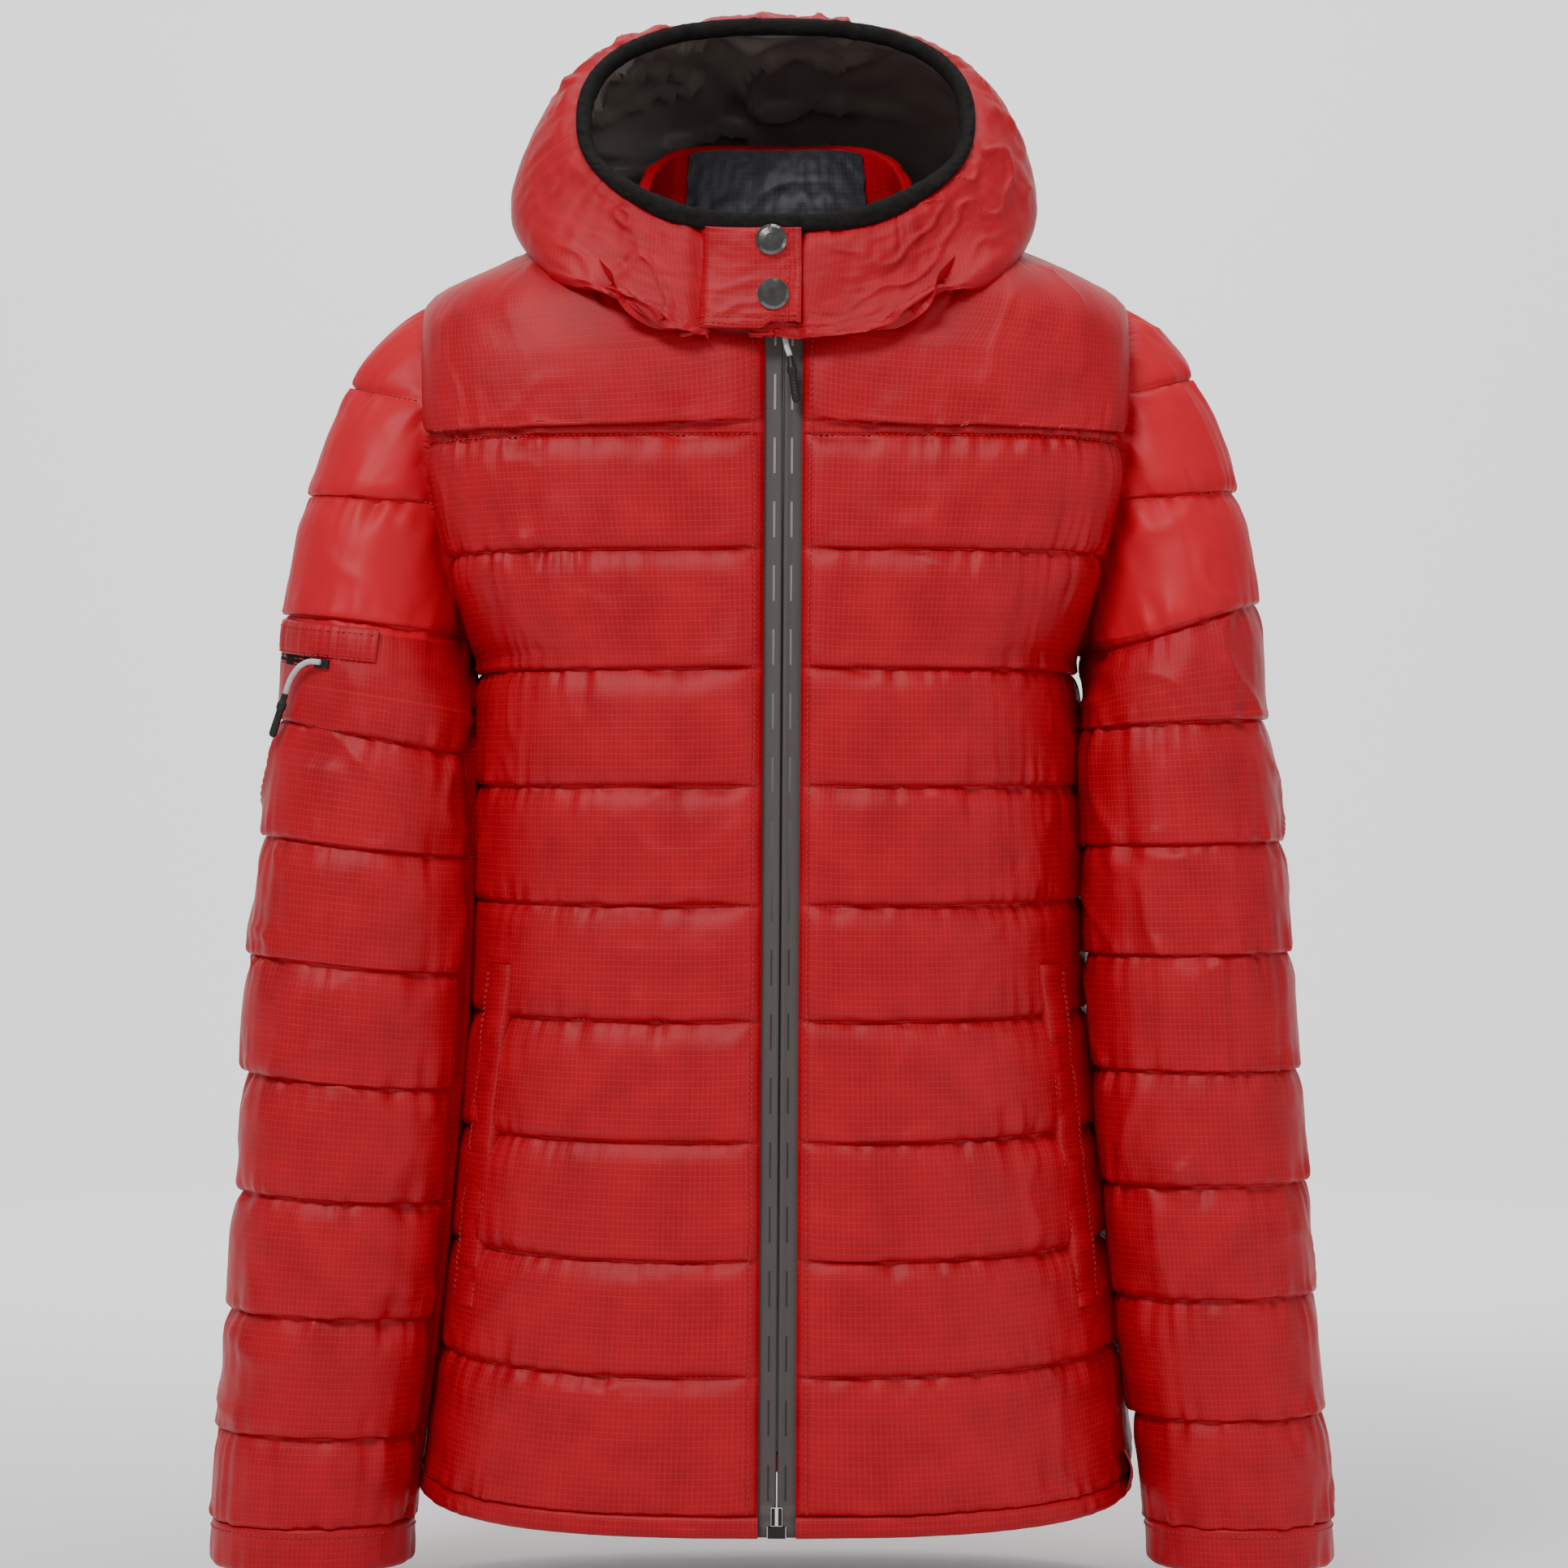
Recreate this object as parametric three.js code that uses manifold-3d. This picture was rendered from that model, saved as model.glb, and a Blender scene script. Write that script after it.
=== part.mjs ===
// A padded ski jacket with a hood, lying as it would on an invisible wearer: horizontal baffles, a centre
// front zip with a cord pull, a snapped neck flap, a zipped sleeve pocket and two welted hand pockets.
// Millimetres, +Z up, the front of the jacket faces -Y and the wearer's left arm is on +X.
// The origin is on the underside of the hanger loop inside the back of the neck, where a hook bears.
import * as THREE from 'three';
import Module from 'manifold-3d';
import { mergeVertices } from 'three/addons/utils/BufferGeometryUtils.js';

const wasm = await Module();
wasm.setup();

// ---------- driving dimensions ----------
const GAP = 0.6; // between neighbouring pieces that touch on the real jacket
const PADDING = 8; // shell fabric, wadding and backing together
const LINING = 1.2;
const LINING_DEPTH = PADDING + 4.4; // from the outer surface to the lining, past the pocket bags
// y and z are the hanger loop's bearing face, in the torso's own coordinates
const LOOP = { y: 50, z: 302, width: 44, height: 15, tape: 6, thickness: 1.6 };

const HEM_Z = -382;
const HEM_DIP = 16; // the hem hangs lower at the centre front and back
const HEM_BAND = 12;
const ARMPIT_Z = 72;
const SHOULDER = { x: 191, z: 266 };
const SHOULDER_SLOPE = 0.437;
const YOKE_Z = 186;
const NECK = { halfWidth: 88, frontZ: 242, sideZ: 311, backZ: 296, tipZ: 305 };
const CHEST_ROUNDING = 2.7; // superellipse power of the torso's quarter sections

const ZIP = { topX: 4.5, bottomX: 0.5, topY: -104, bottomY: -126, topZ: 240, bottomZ: -398 };
const TAPE_HALF_WIDTH = 10;
const TAPE_THICKNESS = 1.4;
const SLIDER = { width: 11, length: 13 };
const PULL_CORD = 3;
const PULL_GRIP = { width: 4.6, depth: 3.8, length: 25 };

const ARMHOLE = { z: (SHOULDER.z + ARMPIT_Z) / 2, halfHeight: (SHOULDER.z - ARMPIT_Z) / 2, halfDepth: 64 };
const SLEEVE_PIVOT = { x: 197, z: 195 };
const SLEEVE_CUT = 100; // radius round the pivot where the moving sleeve begins
const CUFF = { topZ: -399, bottomZ: -424 };

const HOOD_PIVOT = { y: 40, z: 300 };
const HOOD_CUT = 75; // radius round the pivot of the part that stays with the neck
const CHIN_CUT_Z = 316;
const CENTRE_PANEL = 44; // half width of the hood's centre panel
const RIM = { halfWidth: 109, topY: -15, topZ: 420, chinY: -112, chinZ: 303 };
const HOOD_THICKNESS = 6;
const COLLAR = { halfWidth: 82, frontY: -97, backY: 63, frontTopZ: 294, backTopZ: 362, thickness: 5 };
const BINDING = { width: 8 };

const FLAP = { hingeX: -38, edgeX: 12, underX: -14, thickness: 3.4 };
const SNAP = { x: -1, upperZ: 288, lowerZ: 259, capRadius: 8.4, capHeight: 2 };

// ---------- materials ----------
const finish = (color, roughness, metalness = 0) =>
  new THREE.MeshStandardMaterial({ color, roughness, metalness });
const RED = finish(0xb21e24, 0.5);
const RED_TRIM = finish(0xa01a20, 0.55);
const LINING_CLOTH = finish(0x413c37, 0.45);
const FACING_CLOTH = finish(0x46464b, 0.5);
const ELASTIC = finish(0x1e1917, 0.85);
const TAPE = finish(0x4b4442, 0.7);
const BLACK_PLASTIC = finish(0x232120, 0.5);
const GREY_CORD = finish(0xb9bebe, 0.8);
const NICKEL = finish(0x8a8784, 0.28, 1);

// ---------- helpers ----------
const lerp = (a, b, t) => a + (b - a) * t;
const clamp = (t) => Math.min(1, Math.max(0, t));
const smooth = (t) => clamp(t) ** 2 * (3 - 2 * clamp(t));

// a smooth function of z through a few [z, value] points, listed from the top down
function profile(points) {
  const curve = new THREE.CatmullRomCurve3(points.map(([z, value]) => new THREE.Vector3(value, 0, z)));
  const samples = curve.getPoints(60);
  return (z) => {
    const below = samples.findIndex((p) => p.z <= z);
    if (below === -1) return samples.at(-1).x;
    if (below === 0) return samples[0].x;
    const [a, b] = [samples[below - 1], samples[below]];
    return lerp(a.x, b.x, (a.z - z) / (a.z - b.z));
  };
}

function closedGeometry(positions, triangles) {
  const geometry = new THREE.BufferGeometry();
  geometry.setAttribute('position', new THREE.Float32BufferAttribute(positions, 3));
  geometry.setIndex(triangles);
  return geometry;
}

// A slab between two depths under surface(u, v), which returns a Vector3. The normal that the depths are
// measured against is d/du x d/dv, and it points out of the jacket. closed joins u = 1 back to u = 0.
function slab(surface, near, far, columns, rows, closed = false) {
  const layers = [near, far];
  const width = closed ? columns : columns + 1;
  const positions = [];
  const step = 1e-3;
  for (const depth of layers) {
    for (let j = 0; j <= rows; j += 1) {
      for (let i = 0; i < width; i += 1) {
        const [u, v] = [i / columns, j / rows];
        const [u0, u1] = closed ? [u - step, u + step] : [Math.max(0, u - step), Math.min(1, u + step)];
        const [v0, v1] = [Math.max(0, v - step), Math.min(1, v + step)];
        const along = surface(u1, v).sub(surface(u0, v));
        const down = surface(u, v1).sub(surface(u, v0));
        const normal = along.cross(down).normalize();
        const point = surface(u, v).addScaledVector(normal, -depth);
        positions.push(point.x, point.y, point.z);
      }
    }
  }
  const layerSize = width * (rows + 1);
  const at = (layer, i, j) => layer * layerSize + j * width + (closed ? (i + columns) % columns : i);
  const triangles = [];
  const quad = (a, b, c, d) => triangles.push(a, b, c, a, c, d);
  for (let j = 0; j < rows; j += 1) {
    for (let i = 0; i < columns; i += 1) {
      quad(at(0, i, j), at(0, i + 1, j), at(0, i + 1, j + 1), at(0, i, j + 1));
      quad(at(1, i, j + 1), at(1, i + 1, j + 1), at(1, i + 1, j), at(1, i, j));
    }
  }
  for (let i = 0; i < columns; i += 1) {
    quad(at(1, i, 0), at(1, i + 1, 0), at(0, i + 1, 0), at(0, i, 0));
    quad(at(0, i, rows), at(0, i + 1, rows), at(1, i + 1, rows), at(1, i, rows));
  }
  for (let j = 0; j < rows && !closed; j += 1) {
    quad(at(0, 0, j), at(0, 0, j + 1), at(1, 0, j + 1), at(1, 0, j));
    quad(at(1, columns, j), at(1, columns, j + 1), at(0, columns, j + 1), at(0, columns, j));
  }
  return closedGeometry(positions, triangles);
}

function toSolid(geometry) {
  const bare = geometry.clone();
  bare.deleteAttribute('normal');
  bare.deleteAttribute('uv');
  const merged = mergeVertices(bare, 1e-4);
  const vertProperties = new Float32Array(merged.attributes.position.array);
  const triVerts = new Uint32Array(merged.index.array);
  return new wasm.Manifold(new wasm.Mesh({ numProp: 3, vertProperties, triVerts }));
}

const SLIVER = 0.05; // a cut leaves no edge shorter than this
function toGeometry(solid) {
  const mesh = solid.simplify(SLIVER).getMesh();
  return closedGeometry(Array.from(mesh.vertProperties), Array.from(mesh.triVerts));
}

const without = (solid, tool) => solid.subtract(toSolid(tool));
const cut = (geometry, ...tools) => toGeometry(tools.reduce(without, toSolid(geometry)));
const keep = (geometry, tool) => toGeometry(toSolid(geometry).intersect(toSolid(tool)));

function block(x0, x1, y0, y1, z0, z1) {
  const geometry = new THREE.BoxGeometry(x1 - x0, y1 - y0, z1 - z0);
  return geometry.translate((x0 + x1) / 2, (y0 + y1) / 2, (z0 + z1) / 2);
}

const jacket = new THREE.Group();
// the torso's own coordinates: x = 0, y = 0 on the side seams, z = 0 at the waist
const bodyFrame = new THREE.Group();
bodyFrame.position.set(0, -LOOP.y, -LOOP.z);
jacket.add(bodyFrame);

function add(name, geometry, material, parent = bodyFrame) {
  const mesh = new THREE.Mesh(geometry, material);
  mesh.name = name;
  parent.add(mesh);
  return mesh;
}
const SIDES = [['right', -1], ['left', 1]];

// ---------- torso ----------
const sideX = profile([
  [SHOULDER.z, SHOULDER.x], [230, 190], [165, 186], [120, 176], [72, 165],
  [0, 165], [-100, 167], [-200, 175], [-300, 185], [-400, 199],
]);
const backDepth = profile([[310, 98], [150, 104], [-50, 95], [-250, 106], [-400, 118]]);

const halfWidthAt = (z) => (z > SHOULDER.z ? SHOULDER.x - (z - SHOULDER.z) / SHOULDER_SLOPE : sideX(z));
const shoulderTaper = (z) => Math.sqrt(1 - Math.min(0.98, Math.max(0, (z - 190) / 140) ** 3));
const zipAlong = (z) => (ZIP.topZ - z) / (ZIP.topZ - ZIP.bottomZ);
const zipX = (z) => lerp(ZIP.topX, ZIP.bottomX, zipAlong(z));
const zipY = (z) => lerp(ZIP.topY, ZIP.bottomY, zipAlong(z));
const armholeShare = (z) => Math.max(0, 1 - ((z - ARMHOLE.z) / ARMHOLE.halfHeight) ** 2);
const armholeDepth = (z) => ARMHOLE.halfDepth * Math.sqrt(armholeShare(z));

// t runs from the centre line, 0, to the side or armhole seam, 1; front is -1 on the chest and 1 on the back
function torsoPoint(side, front, t, z) {
  const across = Math.sin((t * Math.PI) / 2) ** (2 / CHEST_ROUNDING);
  const out = Math.cos((t * Math.PI) / 2) ** (2 / CHEST_ROUNDING);
  const seamY = armholeDepth(z) + GAP / 2;
  const middle = (front < 0 ? 5 - zipY(z) : backDepth(z)) * shoulderTaper(z);
  const chest = front < 0 ? 7 * Math.sin(Math.PI * t) * smooth((z + 150) / 200) * shoulderTaper(z) : 0;
  return new THREE.Vector3(side * halfWidthAt(z) * across, front * (lerp(seamY, middle, out) + chest), z);
}
const tAt = (x, z) => {
  const share = clamp(Math.abs(x) / halfWidthAt(z));
  return (Math.asin(share ** (CHEST_ROUNDING / 2)) * 2) / Math.PI;
};
const hemZ = (t) => HEM_Z - HEM_DIP * (1 - t * t);

// the inner edge of a front piece: the zip's edge, and the neckline above it
function innerX(side, z, inset) {
  const zipEdge = TAPE_HALF_WIDTH + side * zipX(z);
  const rise = clamp((NECK.sideZ - z) / (NECK.sideZ - NECK.frontZ));
  return Math.max(zipEdge, rise < 1 ? NECK.halfWidth * Math.sqrt(1 - rise * rise) + inset : 0);
}

// a patch of the front between two heights, each a function of t; v runs so that the normal points forward
function frontPatch(side, topZ, bottomZ, inset = 0) {
  return (u, v) => {
    const height = side > 0 ? v : 1 - v;
    const z0 = lerp(bottomZ(u), topZ(u), height);
    const start = tAt(innerX(side, z0, inset), z0);
    const t = lerp(start, 1, u);
    return torsoPoint(side, -1, t, lerp(bottomZ(t), topZ(t), height));
  };
}
function backPatch(topZ, bottomZ) {
  return (u, v) => {
    const t = 2 * u - 1;
    return torsoPoint(Math.sign(t) || 1, 1, Math.abs(t), lerp(topZ(t), bottomZ(t), v));
  };
}
const level = (z) => () => z;
const aboveHem = (t) => hemZ(t) + HEM_BAND + GAP;
const backTop = (t) => NECK.backZ + (NECK.tipZ - NECK.backZ) * t * t;

for (const [name, side] of SIDES) {
  const yoke = frontPatch(side, level(NECK.tipZ), level(YOKE_Z + GAP / 2));
  const panel = frontPatch(side, level(YOKE_Z - GAP / 2), aboveHem);
  const hem = frontPatch(side, (t) => hemZ(t) + HEM_BAND, hemZ);
  add(`front_yoke_${name}`, slab(yoke, 0, PADDING, 6, 8), RED);
  add(`front_panel_${name}`, slab(panel, 0, PADDING, 7, 12), RED);
  add(`hem_band_${name}`, slab(hem, -1, PADDING + 2, 7, 1), RED_TRIM);
  const liningPatch = frontPatch(side, level(NECK.tipZ - 25), (t) => hemZ(t) + HEM_BAND / 2, 12);
  add(`lining_front_${name}`, slab(liningPatch, LINING_DEPTH, LINING_DEPTH + LINING, 6, 12), LINING_CLOTH);
}
add('back_yoke', slab(backPatch(backTop, level(YOKE_Z + GAP / 2)), 0, PADDING, 12, 6), RED);
add('back_panel', slab(backPatch(level(YOKE_Z - GAP / 2), aboveHem), 0, PADDING, 14, 12), RED);
add('hem_band_back', slab(backPatch((t) => hemZ(t) + HEM_BAND, hemZ), -1, PADDING + 2, 14, 1), RED_TRIM);
const backLining = backPatch((t) => backTop(t) - 8, (t) => hemZ(t) + HEM_BAND / 2);
add('lining_back', slab(backLining, LINING_DEPTH, LINING_DEPTH + LINING, 12, 12), LINING_CLOTH);

// ---------- hand pockets ----------
const WELT = { topZ: -97, bottomZ: -281, topX: 140, bottomX: 160, width: 12.5, thickness: 2.6 };
const welt = (side) => (u, v) => {
  const height = side > 0 ? v : 1 - v;
  const z = lerp(WELT.bottomZ, WELT.topZ, height);
  const x = lerp(WELT.bottomX, WELT.topX, height) + u * WELT.width;
  return torsoPoint(side, -1, tAt(x, z), z);
};
const POCKET_BAG = { topZ: -90, bottomZ: -300, fromX: 62, toX: 150, thickness: 1.2 };
const pocketBag = (side) => (u, v) => {
  const z = lerp(POCKET_BAG.bottomZ, POCKET_BAG.topZ, side > 0 ? v : 1 - v);
  return torsoPoint(side, -1, tAt(lerp(POCKET_BAG.fromX, POCKET_BAG.toX, u), z), z);
};
for (const [name, side] of SIDES) {
  add(`welt_${name}`, slab(welt(side), -WELT.thickness - 0.4, -0.4, 2, 8), RED_TRIM);
  const bagDepth = PADDING + 1.6;
  const bag = slab(pocketBag(side), bagDepth, bagDepth + POCKET_BAG.thickness, 6, 6);
  add(`pocket_bag_${name}`, bag, LINING_CLOTH);
}

// ---------- main zip ----------
// the zip lies along a straight line from the top of its travel to the hem
const ZIP_TOP = new THREE.Vector3(zipX(ZIP.topZ), zipY(ZIP.topZ), ZIP.topZ);
const ZIP_BOTTOM = new THREE.Vector3(zipX(ZIP.bottomZ), zipY(ZIP.bottomZ), ZIP.bottomZ);
const zipFrame = new THREE.Group(); // its Z runs up along the zip, its Y into the jacket
const zipUp = ZIP_TOP.clone().sub(ZIP_BOTTOM).normalize();
const zipIn = new THREE.Vector3(0, 1, 0).addScaledVector(zipUp, -zipUp.y).normalize();
const zipAcross = zipIn.clone().cross(zipUp);
zipFrame.position.copy(ZIP_BOTTOM);
zipFrame.quaternion.setFromRotationMatrix(new THREE.Matrix4().makeBasis(zipAcross, zipIn, zipUp));
bodyFrame.add(zipFrame);
const ZIP_LENGTH = ZIP_TOP.distanceTo(ZIP_BOTTOM);
const TAPE_TOP = ZIP_LENGTH + 46; // the tape goes on up the collar, behind the neck flap
const RETAINER = { width: 9.5, height: 6, depth: 4 };
const PIN = { x: 1.8, radius: 1, length: 9 };
const COIL = { width: 3, depth: 1.2 };

// a tape's section: the flat tape with the coil's ridge along its inner edge
function tapeSection(side) {
  const outline = new THREE.Shape();
  const inner = side * (GAP / 2);
  const outer = side * (TAPE_HALF_WIDTH - 0.8);
  const ridge = side * (GAP / 2 + COIL.width);
  outline.moveTo(inner, -COIL.depth);
  outline.lineTo(ridge, -COIL.depth);
  outline.lineTo(ridge, 0);
  outline.lineTo(outer, 0);
  outline.lineTo(outer, TAPE_THICKNESS);
  outline.lineTo(inner, TAPE_THICKNESS);
  outline.closePath();
  return outline;
}
const prism = (shape, depth, curveSegments = 6) =>
  new THREE.ExtrudeGeometry(shape, { depth, curveSegments, bevelEnabled: false });
const PIN_TOP = RETAINER.height + GAP + PIN.length + GAP;
for (const [name, side] of SIDES) {
  const tape = prism(tapeSection(side), TAPE_TOP - PIN_TOP);
  add(`zip_tape_${name}`, tape, TAPE, zipFrame).position.z = PIN_TOP;
  const pin = new THREE.CylinderGeometry(PIN.radius, PIN.radius, PIN.length, 8).rotateX(Math.PI / 2);
  const pinMesh = add(`zip_pin_${name}`, pin, BLACK_PLASTIC, zipFrame);
  pinMesh.position.set(side * PIN.x, 0, RETAINER.height + GAP + PIN.length / 2);
}
const [boxX, boxY] = [RETAINER.width / 2, RETAINER.depth / 2];
const box = block(-boxX, boxX, -boxY, boxY, 0, RETAINER.height);
add('zip_retainer_box', box, BLACK_PLASTIC, zipFrame);

// the slider rides in front of the coil, with a bridge that holds the pull's cord
const sliderFrame = new THREE.Group();
sliderFrame.position.set(0, -COIL.depth - GAP, ZIP_LENGTH);
zipFrame.add(sliderFrame);
const sliderShape = new THREE.Shape();
sliderShape.moveTo(-SLIDER.width / 2 + 2, 0);
sliderShape.lineTo(SLIDER.width / 2 - 2, 0);
sliderShape.quadraticCurveTo(SLIDER.width / 2, SLIDER.length * 0.5, SLIDER.width / 2, SLIDER.length);
sliderShape.lineTo(-SLIDER.width / 2, SLIDER.length);
sliderShape.quadraticCurveTo(-SLIDER.width / 2, SLIDER.length * 0.5, -SLIDER.width / 2 + 2, 0);
const SLIDER_PLATE = 1.6;
const sliderPlate = prism(sliderShape, SLIDER_PLATE, 4).rotateX(Math.PI / 2);
add('zip_slider', sliderPlate, BLACK_PLASTIC, sliderFrame);

// The pull hangs from the slider: a cord and a moulded grip with a knob at its top. hangs is the cord's end
// in the pull's own coordinates, and the grip goes on in the direction along.
function gripGeometry() {
  const half = PULL_GRIP.width / 2;
  const points = [
    [0, 0], [half * 0.75, 0], [half * 0.75, 5], [half * 1.15, 6], [half * 1.15, 9], [half * 0.8, 10],
    [half, PULL_GRIP.length - 2], [half * 0.7, PULL_GRIP.length], [0, PULL_GRIP.length],
  ];
  const grip = new THREE.LatheGeometry(points.map(([x, y]) => new THREE.Vector2(x, y)), 8);
  return grip.scale(1, 1, PULL_GRIP.depth / PULL_GRIP.width);
}
function cordGeometry(points, steps) {
  const circle = new THREE.Shape().absarc(0, 0, PULL_CORD / 2, 0, 2 * Math.PI);
  const path = new THREE.CatmullRomCurve3(points.map((p) => new THREE.Vector3(...p)));
  return new THREE.ExtrudeGeometry(circle, { steps, curveSegments: 4, extrudePath: path, bevelEnabled: false });
}
function pull(name, points, along, parent) {
  const end = new THREE.Vector3(...points.at(-1));
  const way = new THREE.Vector3(...along).normalize();
  const grip = add(`${name}_grip`, gripGeometry(), BLACK_PLASTIC, parent);
  grip.quaternion.setFromUnitVectors(new THREE.Vector3(0, 1, 0), way);
  grip.position.copy(end).addScaledVector(way, 0.5);
  add(`${name}_cord`, cordGeometry(points, 6), GREY_CORD, parent);
}
const CORD_FRONT = -COIL.depth - GAP - SLIDER_PLATE - PULL_CORD / 2 - 0.4;
pull('zip_pull', [
  [0, CORD_FRONT, ZIP_LENGTH + 1.5], [0.5, CORD_FRONT - 0.6, ZIP_LENGTH - 3], [1.5, CORD_FRONT - 1.6, ZIP_LENGTH - 8],
  [3.2, CORD_FRONT - 2.2, ZIP_LENGTH - 13],
], [0.15, -0.02, -1], zipFrame);

// ---------- sleeves ----------
const sleeveX = profile([
  [72, 216], [0, 223], [-100, 229], [-200, 235], [-300, 243], [-382, 251], [-430, 254],
]);
const sleeveHalfWidth = profile([
  [72, 48], [0, 52], [-100, 55], [-200, 54.5], [-300, 53.5], [-382, 52.5], [-430, 52],
]);
const sleeveY = profile([[72, -28], [-50, -40], [-200, -44], [-430, -40]]);
const sleeveHalfDepth = profile([[72, 61], [-50, 58], [-200, 54], [-430, 50]]);
const HEAD_END_Z = 45; // the shoulder's curve ends here, and the straight part of the arm begins
const HEAD_SHARE = 0.4;
const SLEEVE_END_Z = CUFF.topZ + GAP;

// angle 0 is the outer side of the arm, pi the inner side, and pi / 2 the front
function armPoint(side, angle, z) {
  const x = sleeveX(z) + sleeveHalfWidth(z) * Math.cos(angle);
  return new THREE.Vector3(side * x, sleeveY(z) - sleeveHalfDepth(z) * Math.sin(angle), z);
}
function headCurve(side, angle) {
  const z = ARMHOLE.z + ARMHOLE.halfHeight * Math.cos(angle);
  const seam = new THREE.Vector3(side * (halfWidthAt(z) + 1.5), -ARMHOLE.halfDepth * Math.sin(angle), z);
  const end = armPoint(side, angle, HEAD_END_Z);
  const reach = seam.distanceTo(end);
  const top = (1 + Math.cos(angle)) / 2;
  const outward = new THREE.Vector3(side * lerp(0.15, 0.9, top), lerp(0, -0.05, top), -lerp(1, 0.4, top));
  outward.normalize();
  const first = seam.clone().addScaledVector(outward, reach * lerp(0.3, 0.24, top));
  const second = end.clone().add(new THREE.Vector3(0, 0, reach * 0.36));
  return new THREE.CubicBezierCurve3(seam, first, second, end);
}
const sleeveSurface = (side) => (u, v) => {
  const angle = side * 2 * Math.PI * u;
  if (v <= HEAD_SHARE) return headCurve(side, angle).getPoint(v / HEAD_SHARE);
  return armPoint(side, angle, lerp(HEAD_END_Z, SLEEVE_END_Z, (v - HEAD_SHARE) / (1 - HEAD_SHARE)));
};
const armLining = (side) => (u, v) =>
  armPoint(side, side * 2 * Math.PI * u, lerp(HEAD_END_Z, SLEEVE_END_Z, v));
// the sleeve's surface at an angle and a height, on the head or on the arm
function sleevePoint(side, angle, z) {
  if (z <= HEAD_END_Z) return armPoint(side, angle, z);
  const curve = headCurve(side, angle);
  let [low, high] = [0, 1];
  for (let i = 0; i < 24; i += 1) {
    const middle = (low + high) / 2;
    if (curve.getPoint(middle).z > z) low = middle;
    else high = middle;
  }
  return curve.getPoint(low);
}
const cuffSurface = (side) => (u, v) =>
  armPoint(side, side * 2 * Math.PI * u, lerp(CUFF.topZ, CUFF.bottomZ, v));
const pivotDrum = (side, radius) =>
  new THREE.CylinderGeometry(radius, radius, 400, 36).translate(side * SLEEVE_PIVOT.x, 0, SLEEVE_PIVOT.z);

for (const [name, side] of SIDES) {
  const whole = slab(sleeveSurface(side), 0, PADDING, 20, 12, true);
  add(`sleeve_head_${name}`, keep(whole, pivotDrum(side, SLEEVE_CUT - GAP / 2)), RED);
  add(`sleeve_${name}`, cut(whole, pivotDrum(side, SLEEVE_CUT + GAP / 2)), RED);
  const lining = slab(armLining(side), PADDING + 2.4, PADDING + 2.4 + LINING, 16, 8, true);
  add(`sleeve_lining_${name}`, lining, LINING_CLOTH);
  add(`cuff_${name}`, slab(cuffSurface(side), -0.5, PADDING + 1, 20, 1, true), RED_TRIM);
}

// ---------- sleeve pocket, on the wearer's right arm ----------
// a level band of the sleeve round the arm: across is an angle, and the band leans with the sleeve's seams
const ARM_POCKET = { fromAngle: 0.3, toAngle: 1.64, outerZ: 71.5, innerZ: 64, flap: 18, slot: 5 };
const armBand = (above, height) => (u, v) => {
  const angle = lerp(ARM_POCKET.toAngle, ARM_POCKET.fromAngle, u);
  const z = lerp(ARM_POCKET.innerZ, ARM_POCKET.outerZ, u) + above - height * v;
  return sleevePoint(-1, angle, z);
};

add('arm_pocket_flap', slab(armBand(ARM_POCKET.flap, ARM_POCKET.flap), -3, -0.5, 8, 2), RED_TRIM);
add('arm_pocket_tape', slab(armBand(-0.6, ARM_POCKET.slot), -1.4, -0.5, 8, 1), TAPE);

const ARM_PULL = { angle: 1.08, drop: 3 };
// its -Y faces away from the arm, its X runs along the slot, inwards
const armPullFrame = new THREE.Group();
const slotAt = (angle) => {
  const share = (angle - ARM_POCKET.fromAngle) / (ARM_POCKET.toAngle - ARM_POCKET.fromAngle);
  return sleevePoint(-1, angle, lerp(ARM_POCKET.outerZ, ARM_POCKET.innerZ, share) - ARM_PULL.drop);
};
const slotWay = slotAt(ARM_PULL.angle + 0.05).sub(slotAt(ARM_PULL.angle - 0.05)).normalize();
const armDown = sleevePoint(-1, ARM_PULL.angle, 60).sub(sleevePoint(-1, ARM_PULL.angle, 85)).normalize();
const armOut = slotWay.clone().cross(armDown).normalize();
if (armOut.y > 0) armOut.negate();
armPullFrame.position.copy(slotAt(ARM_PULL.angle)).addScaledVector(armOut, 2.2);
const armUp = slotWay.clone().cross(armOut.clone().negate()).normalize();
const armPullTurn = new THREE.Matrix4().makeBasis(slotWay, armOut.clone().negate(), armUp);
armPullFrame.quaternion.setFromRotationMatrix(armPullTurn);
bodyFrame.add(armPullFrame);
add('arm_pocket_slider', block(-4.5, 4.5, -1.8, 0, -2.4, 2.4), BLACK_PLASTIC, armPullFrame);
pull('arm_pull', [
  [1, -3.9, 0.5], [-6, -4.6, 0], [-13, -3.6, -3.5], [-19, -1.4, -10], [-22.5, 0.4, -18],
], [-0.25, 0.08, -1], armPullFrame);

// ---------- collar, inside the hood ----------
// angle 0 is the front, pi the back; the collar stops either side of the zip
const COLLAR_GAP = 0.16;
const collarAngle = (u) => lerp(2 * Math.PI - COLLAR_GAP, COLLAR_GAP, u);
const collarSurface = (topLoss) => (u, v) => {
  const angle = collarAngle(u);
  const back = (1 - Math.cos(angle)) / 2;
  const top = lerp(COLLAR.frontTopZ, COLLAR.backTopZ, smooth(back)) - topLoss;
  const bottom = lerp(252, 302, smooth(back * 1.3));
  const lean = lerp(0, 4, 1 - v);
  const x = (COLLAR.halfWidth + lean) * Math.sin(angle);
  const y = lerp(COLLAR.frontY, COLLAR.backY + lean, back);
  return new THREE.Vector3(x, y, lerp(top, bottom, v));
};
add('collar', slab(collarSurface(0), 0, COLLAR.thickness, 20, 2), RED);
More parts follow.
